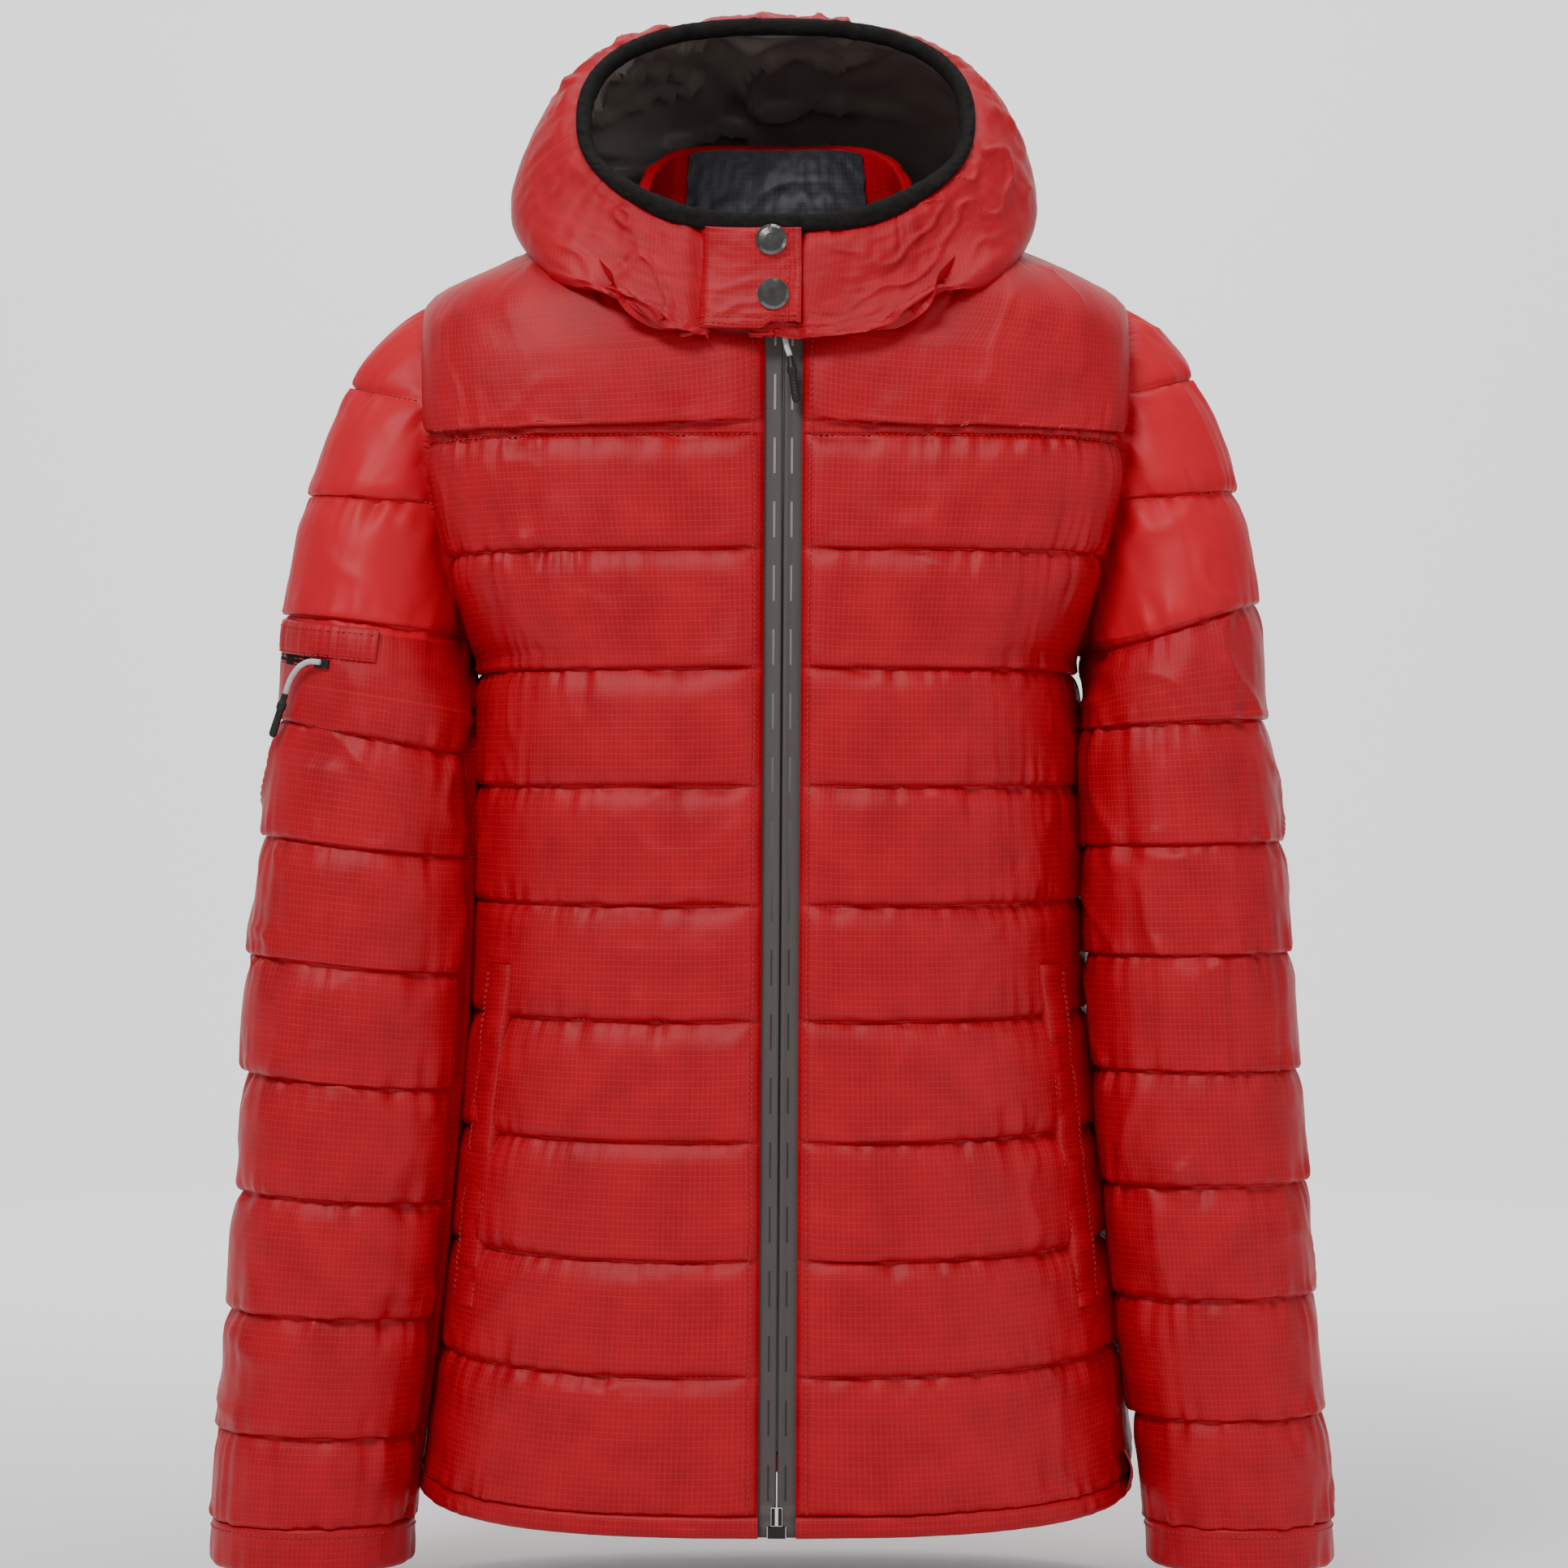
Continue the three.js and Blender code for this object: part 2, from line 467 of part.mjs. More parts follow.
const facing = slab(collarSurface(3), COLLAR.thickness + 0.5, COLLAR.thickness + 0.5 + LINING, 20, 2);
add('collar_facing', facing, FACING_CLOTH);

// ---------- hanger loop ----------
const loopShape = new THREE.Shape();
const half = LOOP.width / 2;
const LOOP_FOOT = 8;
loopShape.moveTo(-half - LOOP_FOOT, -LOOP.height);
loopShape.lineTo(-half, -LOOP.height);
loopShape.lineTo(-half + 5, 0);
loopShape.lineTo(half - 5, 0);
loopShape.lineTo(half, -LOOP.height);
loopShape.lineTo(half + LOOP_FOOT, -LOOP.height);
loopShape.lineTo(half + LOOP_FOOT, -LOOP.height + LOOP.thickness);
loopShape.lineTo(half + 1.2, -LOOP.height + LOOP.thickness);
loopShape.lineTo(half - 4, LOOP.thickness);
loopShape.lineTo(-half + 4, LOOP.thickness);
loopShape.lineTo(-half - 1.2, -LOOP.height + LOOP.thickness);
loopShape.lineTo(-half - LOOP_FOOT, -LOOP.height + LOOP.thickness);
const loopTape = prism(loopShape, LOOP.tape).rotateX(Math.PI / 2).translate(0, LOOP.tape / 2, 0);
add('hanger_loop', loopTape, ELASTIC, jacket);

// ---------- hood ----------
// The hood and its neck band are one tube from the face opening to the neck: turn 0 is the chin, 0.5 the crown.
const RIM_SQUARENESS = 2.5;
function rimPoint(angle) {
  const power = 2 / RIM_SQUARENESS;
  const x = Math.sign(Math.sin(angle)) * Math.abs(Math.sin(angle)) ** power;
  const up = -Math.sign(Math.cos(angle)) * Math.abs(Math.cos(angle)) ** power;
  const y = lerp(RIM.chinY, RIM.topY, (up + 1) / 2);
  return new THREE.Vector3(RIM.halfWidth * x, y, lerp(RIM.chinZ, RIM.topZ, (up + 1) / 2));
}
// where the band lies on the chest, then round over the shoulders to the nape: half of it, from the front
const onChest = (x, z) => [x, torsoPoint(1, -1, tAt(x, z), z).y - HOOD_THICKNESS - 5, z];
const neckHalf = [
  [0, ZIP.topY - 14, 243], onChest(31, 243.5), onChest(58, 247), onChest(87, 265), [109, -69, 296],
  [110, -20, 315], [98, 26, 317], [71, 64, 312], [36, 85, 304], [0, 91, 301],
];
const neckLoop = [...neckHalf, ...neckHalf.slice(1, -1).reverse().map(([x, y, z]) => [-x, y, z])];
const neckCurve = new THREE.CatmullRomCurve3(neckLoop.map((p) => new THREE.Vector3(...p)), true);

// how far the cloth bulges on its way from the rim and from the neck: [sideways, back, up] at chin, side and crown
const BULGE = {
  rim: { chin: [0, -3, -18], side: [33, 37, 22], crown: [0, 90, 26] },
  neck: { chin: [0, -1, 17], side: [46, 24, 14], crown: [0, 150, 36] },
};
function bulge({ chin, side, crown }, angle) {
  const forward = Math.max(0, Math.cos(angle)) ** 2;
  const behind = Math.max(0, -Math.cos(angle)) ** 1.5;
  const beside = Math.abs(Math.sin(angle)) ** 1.5;
  const sum = (axis) => forward * chin[axis] + beside * side[axis] + behind * crown[axis];
  return new THREE.Vector3(Math.sign(Math.sin(angle)) * sum(0), sum(1), sum(2));
}
function hoodCurve(u) {
  const turn = u - Math.floor(u);
  const angle = 2 * Math.PI * turn;
  const [rim, neck] = [rimPoint(angle), neckCurve.getPoint(turn)];
  const first = rim.clone().add(bulge(BULGE.rim, angle));
  return new THREE.CubicBezierCurve3(rim, first, neck.clone().add(bulge(BULGE.neck, angle)), neck);
}
const bindingShare = (curve) => BINDING.width / (3 * curve.v1.distanceTo(curve.v0));
// u runs the other way round, so that the normal points out
function hoodSurface(u, v) {
  const curve = hoodCurve(-u);
  return curve.getPoint(lerp(bindingShare(curve), 1, v));
}
function bindingSurface(u, v) {
  const curve = hoodCurve(-u);
  const share = bindingShare(curve);
  return curve.getPoint(lerp(0, share * (1 - (3.5 * GAP) / BINDING.width), v));
}
const HOOD_COLUMNS = 32;
const hoodWhole = slab(hoodSurface, 0, HOOD_THICKNESS, HOOD_COLUMNS, 9, true);
const hoodLiningDepth = HOOD_THICKNESS + 1.8;
const hoodLining = slab(hoodSurface, hoodLiningDepth, hoodLiningDepth + LINING, HOOD_COLUMNS, 6, true);
const binding = slab(bindingSurface, -1, HOOD_THICKNESS, HOOD_COLUMNS, 1, true);
const FAR = 300;
const neckDrum = (radius) => new THREE.CylinderGeometry(radius, radius, 2 * FAR, 36)
  .rotateZ(Math.PI / 2).translate(0, HOOD_PIVOT.y, HOOD_PIVOT.z);
const chinBlock = (gap) => block(-FAR, FAR, -FAR, HOOD_PIVOT.y, 0, CHIN_CUT_Z + gap);
const falls = (geometry) => cut(geometry, neckDrum(HOOD_CUT + GAP / 2), chinBlock(GAP / 2));
const staysWithNeck = toSolid(neckDrum(HOOD_CUT - GAP / 2)).add(toSolid(chinBlock(-GAP / 2)));
const slice = (x0, x1) => block(x0, x1, -FAR, FAR, 0, 2 * FAR);

const hoodTop = falls(hoodWhole);
add('hood_centre', keep(hoodTop, slice(-CENTRE_PANEL + GAP / 2, CENTRE_PANEL - GAP / 2)), RED);
add('hood_side_right', keep(hoodTop, slice(-FAR, -CENTRE_PANEL - GAP / 2)), RED);
add('hood_side_left', keep(hoodTop, slice(CENTRE_PANEL + GAP / 2, FAR)), RED);
add('hood_lining', cut(hoodLining, neckDrum(HOOD_CUT + 6), chinBlock(GAP / 2)), LINING_CLOTH);
add('hood_binding', falls(binding), ELASTIC);

// ---------- neck band, flap and snaps ----------
// The band is whole but for the flap, which lies on a thinner tongue of the band's left end.
const flapBlock = (grow) => block(FLAP.hingeX - grow, FLAP.edgeX + grow, -FAR, -60, 0, CHIN_CUT_Z);
const tongueBlock = block(FLAP.underX, FLAP.edgeX + 4, -FAR, -60, 0, CHIN_CUT_Z);
const TONGUE_DEPTH = 4;
const flapLayer = slab(hoodSurface, -2, -2 + FLAP.thickness, 96, 3, true);
const tongueLayer = slab(hoodSurface, TONGUE_DEPTH, HOOD_THICKNESS, HOOD_COLUMNS * 2, 3, true);
const band = toSolid(hoodWhole).intersect(staysWithNeck).subtract(toSolid(flapBlock(GAP / 2)));
const tongue = toSolid(keep(tongueLayer, tongueBlock));
add('neck_band', toGeometry(band.add(tongue)), RED);
add('neck_flap', keep(flapLayer, flapBlock(-GAP / 2)), RED_TRIM);
const fixedBinding = toSolid(binding).intersect(staysWithNeck);
const chinBinding = toGeometry(fixedBinding.subtract(toSolid(flapBlock(GAP / 2))));
add('chin_binding_right', keep(chinBinding, slice(-FAR, 0)), ELASTIC);
add('chin_binding_left', keep(chinBinding, slice(0, FAR)), ELASTIC);
add('flap_binding', keep(binding, flapBlock(-GAP / 2)), ELASTIC);

// a snap stands on the band's surface: its Z points out of the jacket, with 0 on the band's own surface
function turned(points, segments) {
  const outline = points.map(([r, h]) => new THREE.Vector2(r, h));
  return new THREE.LatheGeometry(outline, segments).rotateX(Math.PI / 2);
}
const cap = () => turned([
  [0, 0], [SNAP.capRadius, 0], [SNAP.capRadius, 0.6], [SNAP.capRadius * 0.8, 1.5], [SNAP.capRadius * 0.4, 1.9],
  [0, SNAP.capHeight],
], 20);
const socket = () => turned([[2.4, 0], [4.5, 0], [4.5, 0.9], [2.4, 0.9], [2.4, 0]], 16);
const stud = () => turned([[0, 0], [4.2, 0], [4.2, 0.6], [1.8, 0.6], [1.8, 1.2], [0, 1.2]], 16);
function bandPointAt(z) {
  const curve = hoodCurve(SNAP.x / (2 * Math.PI * RIM.halfWidth));
  let [low, high] = [0, 1];
  for (let i = 0; i < 24; i += 1) {
    const middle = (low + high) / 2;
    if (curve.getPoint(middle).z > z) low = middle;
    else high = middle;
  }
  return { point: curve.getPoint(low), down: curve.getTangent(low) };
}
for (const [name, z] of [['upper', SNAP.upperZ], ['lower', SNAP.lowerZ]]) {
  const { point, down } = bandPointAt(z);
  const snap = new THREE.Group();
  const out = new THREE.Vector3(1, 0, 0).cross(down).normalize();
  if (out.y > 0) out.negate();
  snap.position.copy(point);
  snap.quaternion.setFromUnitVectors(new THREE.Vector3(0, 0, 1), out);
  bodyFrame.add(snap);
  add(`snap_cap_${name}`, cap(), NICKEL, snap).position.z = 2.4;
  add(`snap_socket_${name}`, socket(), NICKEL, snap).position.z = 2 - FLAP.thickness - 1.3;
  add(`snap_stud_${name}`, stud(), NICKEL, snap).position.z = -TONGUE_DEPTH + 0.35;
}

// ---------- side label ----------
const LABEL = { x: 184, width: 8, topZ: -362, height: 20 };
const labelSurface = (u, v) => {
  const z = lerp(LABEL.topZ - LABEL.height, LABEL.topZ, v);
  return torsoPoint(1, -1, tAt(LABEL.x + LABEL.width * u, z), z);
};
add('side_label', slab(labelSurface, -2.6, -1.5, 2, 2), RED_TRIM);

export default jacket;
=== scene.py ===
"""Ski jacket: cloth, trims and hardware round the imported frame. Lengths below are millimetres in the
torso's own coordinates (x = 0 is its middle, y = 0 its side seams, z = 0 the waist, -y its front), until
to_row() turns them into metres in the shared frame."""
import math

import bpy
import numpy as np
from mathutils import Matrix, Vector


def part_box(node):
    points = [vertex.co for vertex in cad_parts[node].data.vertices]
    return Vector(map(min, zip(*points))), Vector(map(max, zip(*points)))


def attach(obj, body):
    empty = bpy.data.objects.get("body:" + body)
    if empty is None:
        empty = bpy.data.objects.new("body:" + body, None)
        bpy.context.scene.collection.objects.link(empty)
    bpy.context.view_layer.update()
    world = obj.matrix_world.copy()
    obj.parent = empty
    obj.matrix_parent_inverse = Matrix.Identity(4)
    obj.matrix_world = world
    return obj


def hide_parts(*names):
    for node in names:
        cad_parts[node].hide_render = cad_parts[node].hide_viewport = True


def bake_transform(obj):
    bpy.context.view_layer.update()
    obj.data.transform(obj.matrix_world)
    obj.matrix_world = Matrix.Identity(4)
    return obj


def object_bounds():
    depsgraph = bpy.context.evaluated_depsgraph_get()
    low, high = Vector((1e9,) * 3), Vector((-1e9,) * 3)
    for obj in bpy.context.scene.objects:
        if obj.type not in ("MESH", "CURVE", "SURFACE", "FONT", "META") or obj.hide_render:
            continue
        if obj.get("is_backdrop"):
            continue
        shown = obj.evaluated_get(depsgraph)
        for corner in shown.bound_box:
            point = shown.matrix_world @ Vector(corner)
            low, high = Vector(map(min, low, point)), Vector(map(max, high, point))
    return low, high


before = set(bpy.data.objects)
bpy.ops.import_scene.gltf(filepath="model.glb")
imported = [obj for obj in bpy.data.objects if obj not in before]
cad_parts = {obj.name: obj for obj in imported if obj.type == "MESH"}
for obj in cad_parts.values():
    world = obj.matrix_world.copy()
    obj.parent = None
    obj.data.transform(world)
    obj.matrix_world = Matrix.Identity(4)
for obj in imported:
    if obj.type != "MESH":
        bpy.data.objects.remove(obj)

CAD_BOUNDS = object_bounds()
ORIGIN = np.array([0.0, 50.0, 302.0])  # the hanger loop's bearing face, in torso millimetres
scene = bpy.context.scene


def to_row(points):
    return (np.asarray(points, dtype=float) - ORIGIN) / 1000.0


# ---------- camera ----------
VIEW_DISTANCE = 2600.0
VIEW_WIDTH = 869.4  # millimetres across the frame at the side seams
CAMERA_X = 4.5
camera_data = bpy.data.cameras.new("camera")
camera_data.sensor_width = 36.0
camera_data.lens = 36.0 * VIEW_DISTANCE / VIEW_WIDTH
camera = bpy.data.objects.new("camera", camera_data)
camera.location = to_row([CAMERA_X, -VIEW_DISTANCE, 0.0])
camera.rotation_euler = (math.radians(90), 0, 0)
scene.collection.objects.link(camera)
scene.camera = camera

# ---------- the jacket's surfaces, as in the CAD model ----------
PADDING = 8.0
HEM_Z, HEM_DIP, HEM_BAND = -382.0, 16.0, 12.0
SHOULDER_X, SHOULDER_Z, SHOULDER_SLOPE = 191.0, 266.0, 0.437
ARMHOLE_Z, ARMHOLE_HALF_HEIGHT, ARMHOLE_HALF_DEPTH = 169.0, 97.0, 64.0
NECK_HALF_WIDTH, NECK_FRONT_Z, NECK_SIDE_Z = 88.0, 242.0, 311.0
ROUNDING = 2.7
ZIP_TOP = np.array([4.5, -104.0, 240.0])
ZIP_BOTTOM = np.array([0.5, -126.0, -398.0])
TAPE_HALF_WIDTH = 10.0


def smooth(t):
    t = np.clip(t, 0.0, 1.0)
    return t * t * (3 - 2 * t)


def lerp(a, b, t):
    return a + (b - a) * t


def profile(*knots):
    """A smooth function of z through (z, value) knots, listed from the top down."""
    z = np.array([k[0] for k in knots], dtype=float)[::-1]
    value = np.array([k[1] for k in knots], dtype=float)[::-1]
    slope = np.gradient(value, z)

    def at(where):
        where = np.clip(where, z[0], z[-1])
        i = np.clip(np.searchsorted(z, where) - 1, 0, len(z) - 2)
        h = z[i + 1] - z[i]
        t = (where - z[i]) / h
        a, b = value[i], value[i + 1]
        return ((2 * t**3 - 3 * t**2 + 1) * a + (t**3 - 2 * t**2 + t) * h * slope[i]
                + (3 * t**2 - 2 * t**3) * b + (t**3 - t**2) * h * slope[i + 1])

    return at


side_x = profile((266, 191), (230, 190), (165, 186), (120, 176), (72, 165),
                 (0, 165), (-100, 167), (-200, 175), (-300, 185), (-400, 199))
back_depth = profile((310, 98), (150, 104), (-50, 95), (-250, 106), (-400, 118))
sleeve_x = profile((72, 216), (0, 223), (-100, 229), (-200, 235), (-300, 243), (-382, 251), (-430, 254))
sleeve_half_width = profile((72, 48), (0, 52), (-100, 55), (-200, 54.5), (-300, 53.5), (-382, 52.5),
                            (-430, 52))
sleeve_y = profile((72, -28), (-50, -40), (-200, -44), (-430, -40))
sleeve_half_depth = profile((72, 61), (-50, 58), (-200, 54), (-430, 50))


def half_width(z):
    return np.where(z > SHOULDER_Z, SHOULDER_X - (z - SHOULDER_Z) / SHOULDER_SLOPE, side_x(z))


def shoulder_taper(z):
    return np.sqrt(1 - np.minimum(0.98, np.maximum(0, (z - 190) / 140) ** 3))


def zip_at(z):
    share = (ZIP_TOP[2] - z) / (ZIP_TOP[2] - ZIP_BOTTOM[2])
    return lerp(ZIP_TOP[0], ZIP_BOTTOM[0], share), lerp(ZIP_TOP[1], ZIP_BOTTOM[1], share)


def torso(side, front, t, z):
    """The torso's outer surface: t is 0 on the centre line and 1 on the side seam or armhole."""
    across = np.sin(t * np.pi / 2) ** (2 / ROUNDING)
    out = np.maximum(np.cos(t * np.pi / 2), 0) ** (2 / ROUNDING)
    inside = 1 - ((z - ARMHOLE_Z) / ARMHOLE_HALF_HEIGHT) ** 2
    seam_y = ARMHOLE_HALF_DEPTH * np.sqrt(np.maximum(0, inside))
    taper = shoulder_taper(z)
    if front < 0:
        middle = (5 - zip_at(z)[1]) * taper
        chest = 7 * np.sin(np.pi * t) * smooth((z + 150) / 200) * taper
    else:
        middle = back_depth(z) * taper
        chest = 0.0
    y = front * (lerp(seam_y, middle, out) + chest)
    return np.stack([side * half_width(z) * across, y, z + 0 * t], axis=-1)


def t_at(x, z):
    share = np.clip(np.abs(x) / half_width(z), 0, 1)
    return np.arcsin(share ** (ROUNDING / 2)) * 2 / np.pi


def inner_x(side, z):
    rise = np.clip((NECK_SIDE_Z - z) / (NECK_SIDE_Z - NECK_FRONT_Z), 0, 1)
    neckline = np.where(rise < 1, NECK_HALF_WIDTH * np.sqrt(1 - rise * rise), 0)
    return np.maximum(TAPE_HALF_WIDTH + side * zip_at(z)[0], neckline)


def hem_z(t):
    return HEM_Z - HEM_DIP * (1 - t * t)


HEAD_END_Z, CUFF_SEAM_Z, CUFF_END_Z = 45.0, -399.0, -424.0
HEAD_SHARE = 0.4
ARM_WIDTH = {-1: 1.045, 1: 0.965}  # the right sleeve lies fuller than the left one


def arm_point(side, angle, z):
    x = sleeve_x(z) + ARM_WIDTH[side] * sleeve_half_width(z) * np.cos(angle)
    return np.stack([side * x, sleeve_y(z) - sleeve_half_depth(z) * np.sin(angle), z + 0 * angle], axis=-1)


def bezier(p, share):
    s = share[..., None]
    return (1 - s) ** 3 * p[0] + 3 * (1 - s) ** 2 * s * p[1] + 3 * (1 - s) * s**2 * p[2] + s**3 * p[3]


def head_controls(side, angle):
    z = ARMHOLE_Z + ARMHOLE_HALF_HEIGHT * np.cos(angle)
    seam = np.stack([side * (half_width(z) + 0.6), -ARMHOLE_HALF_DEPTH * np.sin(angle), z], axis=-1)
    end = arm_point(side, angle, np.full_like(angle, HEAD_END_Z))
    reach = np.linalg.norm(end - seam, axis=-1)[..., None]
    top = (1 + np.cos(angle)) / 2
    out = np.stack([side * lerp(0.15, 0.9, top), lerp(0, -0.05, top), -lerp(1, 0.4, top)], axis=-1)
    out /= np.linalg.norm(out, axis=-1)[..., None]
    first = seam + out * reach * lerp(0.3, 0.24, top)[..., None]
    second = end + np.array([0, 0, 1.0]) * reach * 0.36
    return seam, first, second, end


def sleeve(side, angle, share):
    """The sleeve's outer surface: angle 0 is outwards, pi / 2 the front; share runs armhole to cuff."""
    angle, share = np.broadcast_arrays(angle, share)
    head = bezier(head_controls(side, angle), np.clip(share / HEAD_SHARE, 0, 1))
    arm_share = np.clip((share - HEAD_SHARE) / (1 - HEAD_SHARE), 0, 1)
    arm = arm_point(side, angle, lerp(HEAD_END_Z, CUFF_SEAM_Z, arm_share))
    return np.where((share < HEAD_SHARE)[..., None], head, arm)


RIM_X, RIM_TOP, RIM_CHIN = 103.0, np.array([0, -15.0, 420.0]), np.array([0, -112.0, 303.0])
HOOD_THICKNESS = 6.0
BULGE_RIM = {"chin": (0, -3, -18), "side": (26, 37, 12), "crown": (0, 90, 34)}
BULGE_NECK = {"chin": (0, -1, 17), "side": (58, 25, 13), "crown": (0, 161, 49)}


def on_chest(x, z):
    y = torso(1, -1, t_at(np.array(x), np.array(z)), np.array(z))[1]
    return (x, y - HOOD_THICKNESS - 5, z)


NECK_HALF = [(0, -118, 243), on_chest(31.0, 243.5), on_chest(58.0, 247.0), on_chest(87.0, 265.0),
             (106, -67, 288), (104, -20, 294), (97, 27, 295), (66, 57, 295), (34, 75, 291), (0, 79, 288)]
NECK_LOOP = np.array(NECK_HALF + [(-x, y, z) for x, y, z in NECK_HALF[-2:0:-1]], dtype=float)


def catmull_rom(a, b, c, d, t):
    return 0.5 * (2 * b + (c - a) * t + (2 * a - 5 * b + 4 * c - d) * t**2 + (3 * b - a - 3 * c + d) * t**3)


def closed_curve(points, turn):
    """A Catmull-Rom curve through a closed loop of points, at turn from 0 to 1."""
    n = len(points)
    where = (np.asarray(turn) % 1.0) * n
    i = np.floor(where).astype(int)
    t = (where - i)[..., None]
    return catmull_rom(*(points[(i + k) % n] for k in (-1, 0, 1, 2)), t)


def hood_controls(turn):
    angle = 2 * np.pi * (np.asarray(turn) % 1.0)
    cos, sin = np.cos(angle), np.sin(angle)
    power = 2 / 2.5
    up = (1 - np.sign(cos) * np.abs(cos) ** power) / 2
    rim = lerp(RIM_CHIN, RIM_TOP, up[..., None])
    rim[..., 0] = RIM_X * np.sign(sin) * np.abs(sin) ** power
    neck = closed_curve(NECK_LOOP, turn)

    def bulge(amounts):
        total = (np.maximum(0, cos) ** 2)[..., None] * np.array(amounts["chin"], dtype=float)
        total = total + (np.abs(sin) ** 1.5)[..., None] * np.array(amounts["side"], dtype=float)
        total = total + (np.maximum(0, -cos) ** 1.5)[..., None] * np.array(amounts["crown"], dtype=float)
        total[..., 0] *= np.sign(sin)
        return total

    return rim, rim + bulge(BULGE_RIM), neck + bulge(BULGE_NECK), neck


def hood(turn, share):
    """The hood and neck band's outer surface: turn 0 is the chin, 0.5 the crown; share runs rim to neck."""
    turn, share = np.broadcast_arrays(turn, share)
    return bezier(hood_controls(turn), share)


# ---------- cloth ----------
def run_length(points):
    """The length along a polyline up to each of its points."""
    return np.concatenate([[0], np.cumsum(np.linalg.norm(np.diff(points, axis=0), axis=1))])


def steps_from_end(count):
    """How many steps each place in a row of count is from the nearer end."""
    return np.minimum(np.arange(count), np.arange(count)[::-1])


def closed_ring(points, axis=1):
    """A ring of points with its first one repeated at its end."""
    return np.concatenate([points, np.take(points, [0], axis=axis)], axis=axis)


def out_of(center, points, normal):
    """Normals turned so that they lead away from the center."""
    return normal * np.sign((normal * (points - center)).sum())


def grid_normals(points, wrap=False):
    """Unit normals of a (rows, columns, 3) grid, all on the same side of it."""
    if wrap:
        across = np.roll(points, -1, axis=1) - np.roll(points, 1, axis=1)
    else:
        across = np.gradient(points, axis=1)
    down = np.gradient(points, axis=0)
    normal = np.cross(across, down)
    return normal / np.maximum(np.linalg.norm(normal, axis=-1, keepdims=True), 1e-9)


def blur_noise(rng, shape, sizes):
    """Smooth noise of about unit size, with feature sizes in grid steps (down, across)."""
    down = np.fft.fftfreq(shape[0])[:, None]
    across = np.fft.fftfreq(shape[1])[None, :]
    keep = np.exp(-2 * (np.pi**2) * ((down * sizes[0]) ** 2 + (across * sizes[1]) ** 2) / 2)
    noise = np.fft.ifft2(np.fft.fft2(rng.standard_normal(shape)) * keep).real
    return noise / noise.std()


SIM_STEPS = 170
PRESSURE = 0.05  # the wadding's push, in millimetres a step
SPEED_KEPT, SHEAR_GRIP, BEND = 0.85, 0.35, 0.05


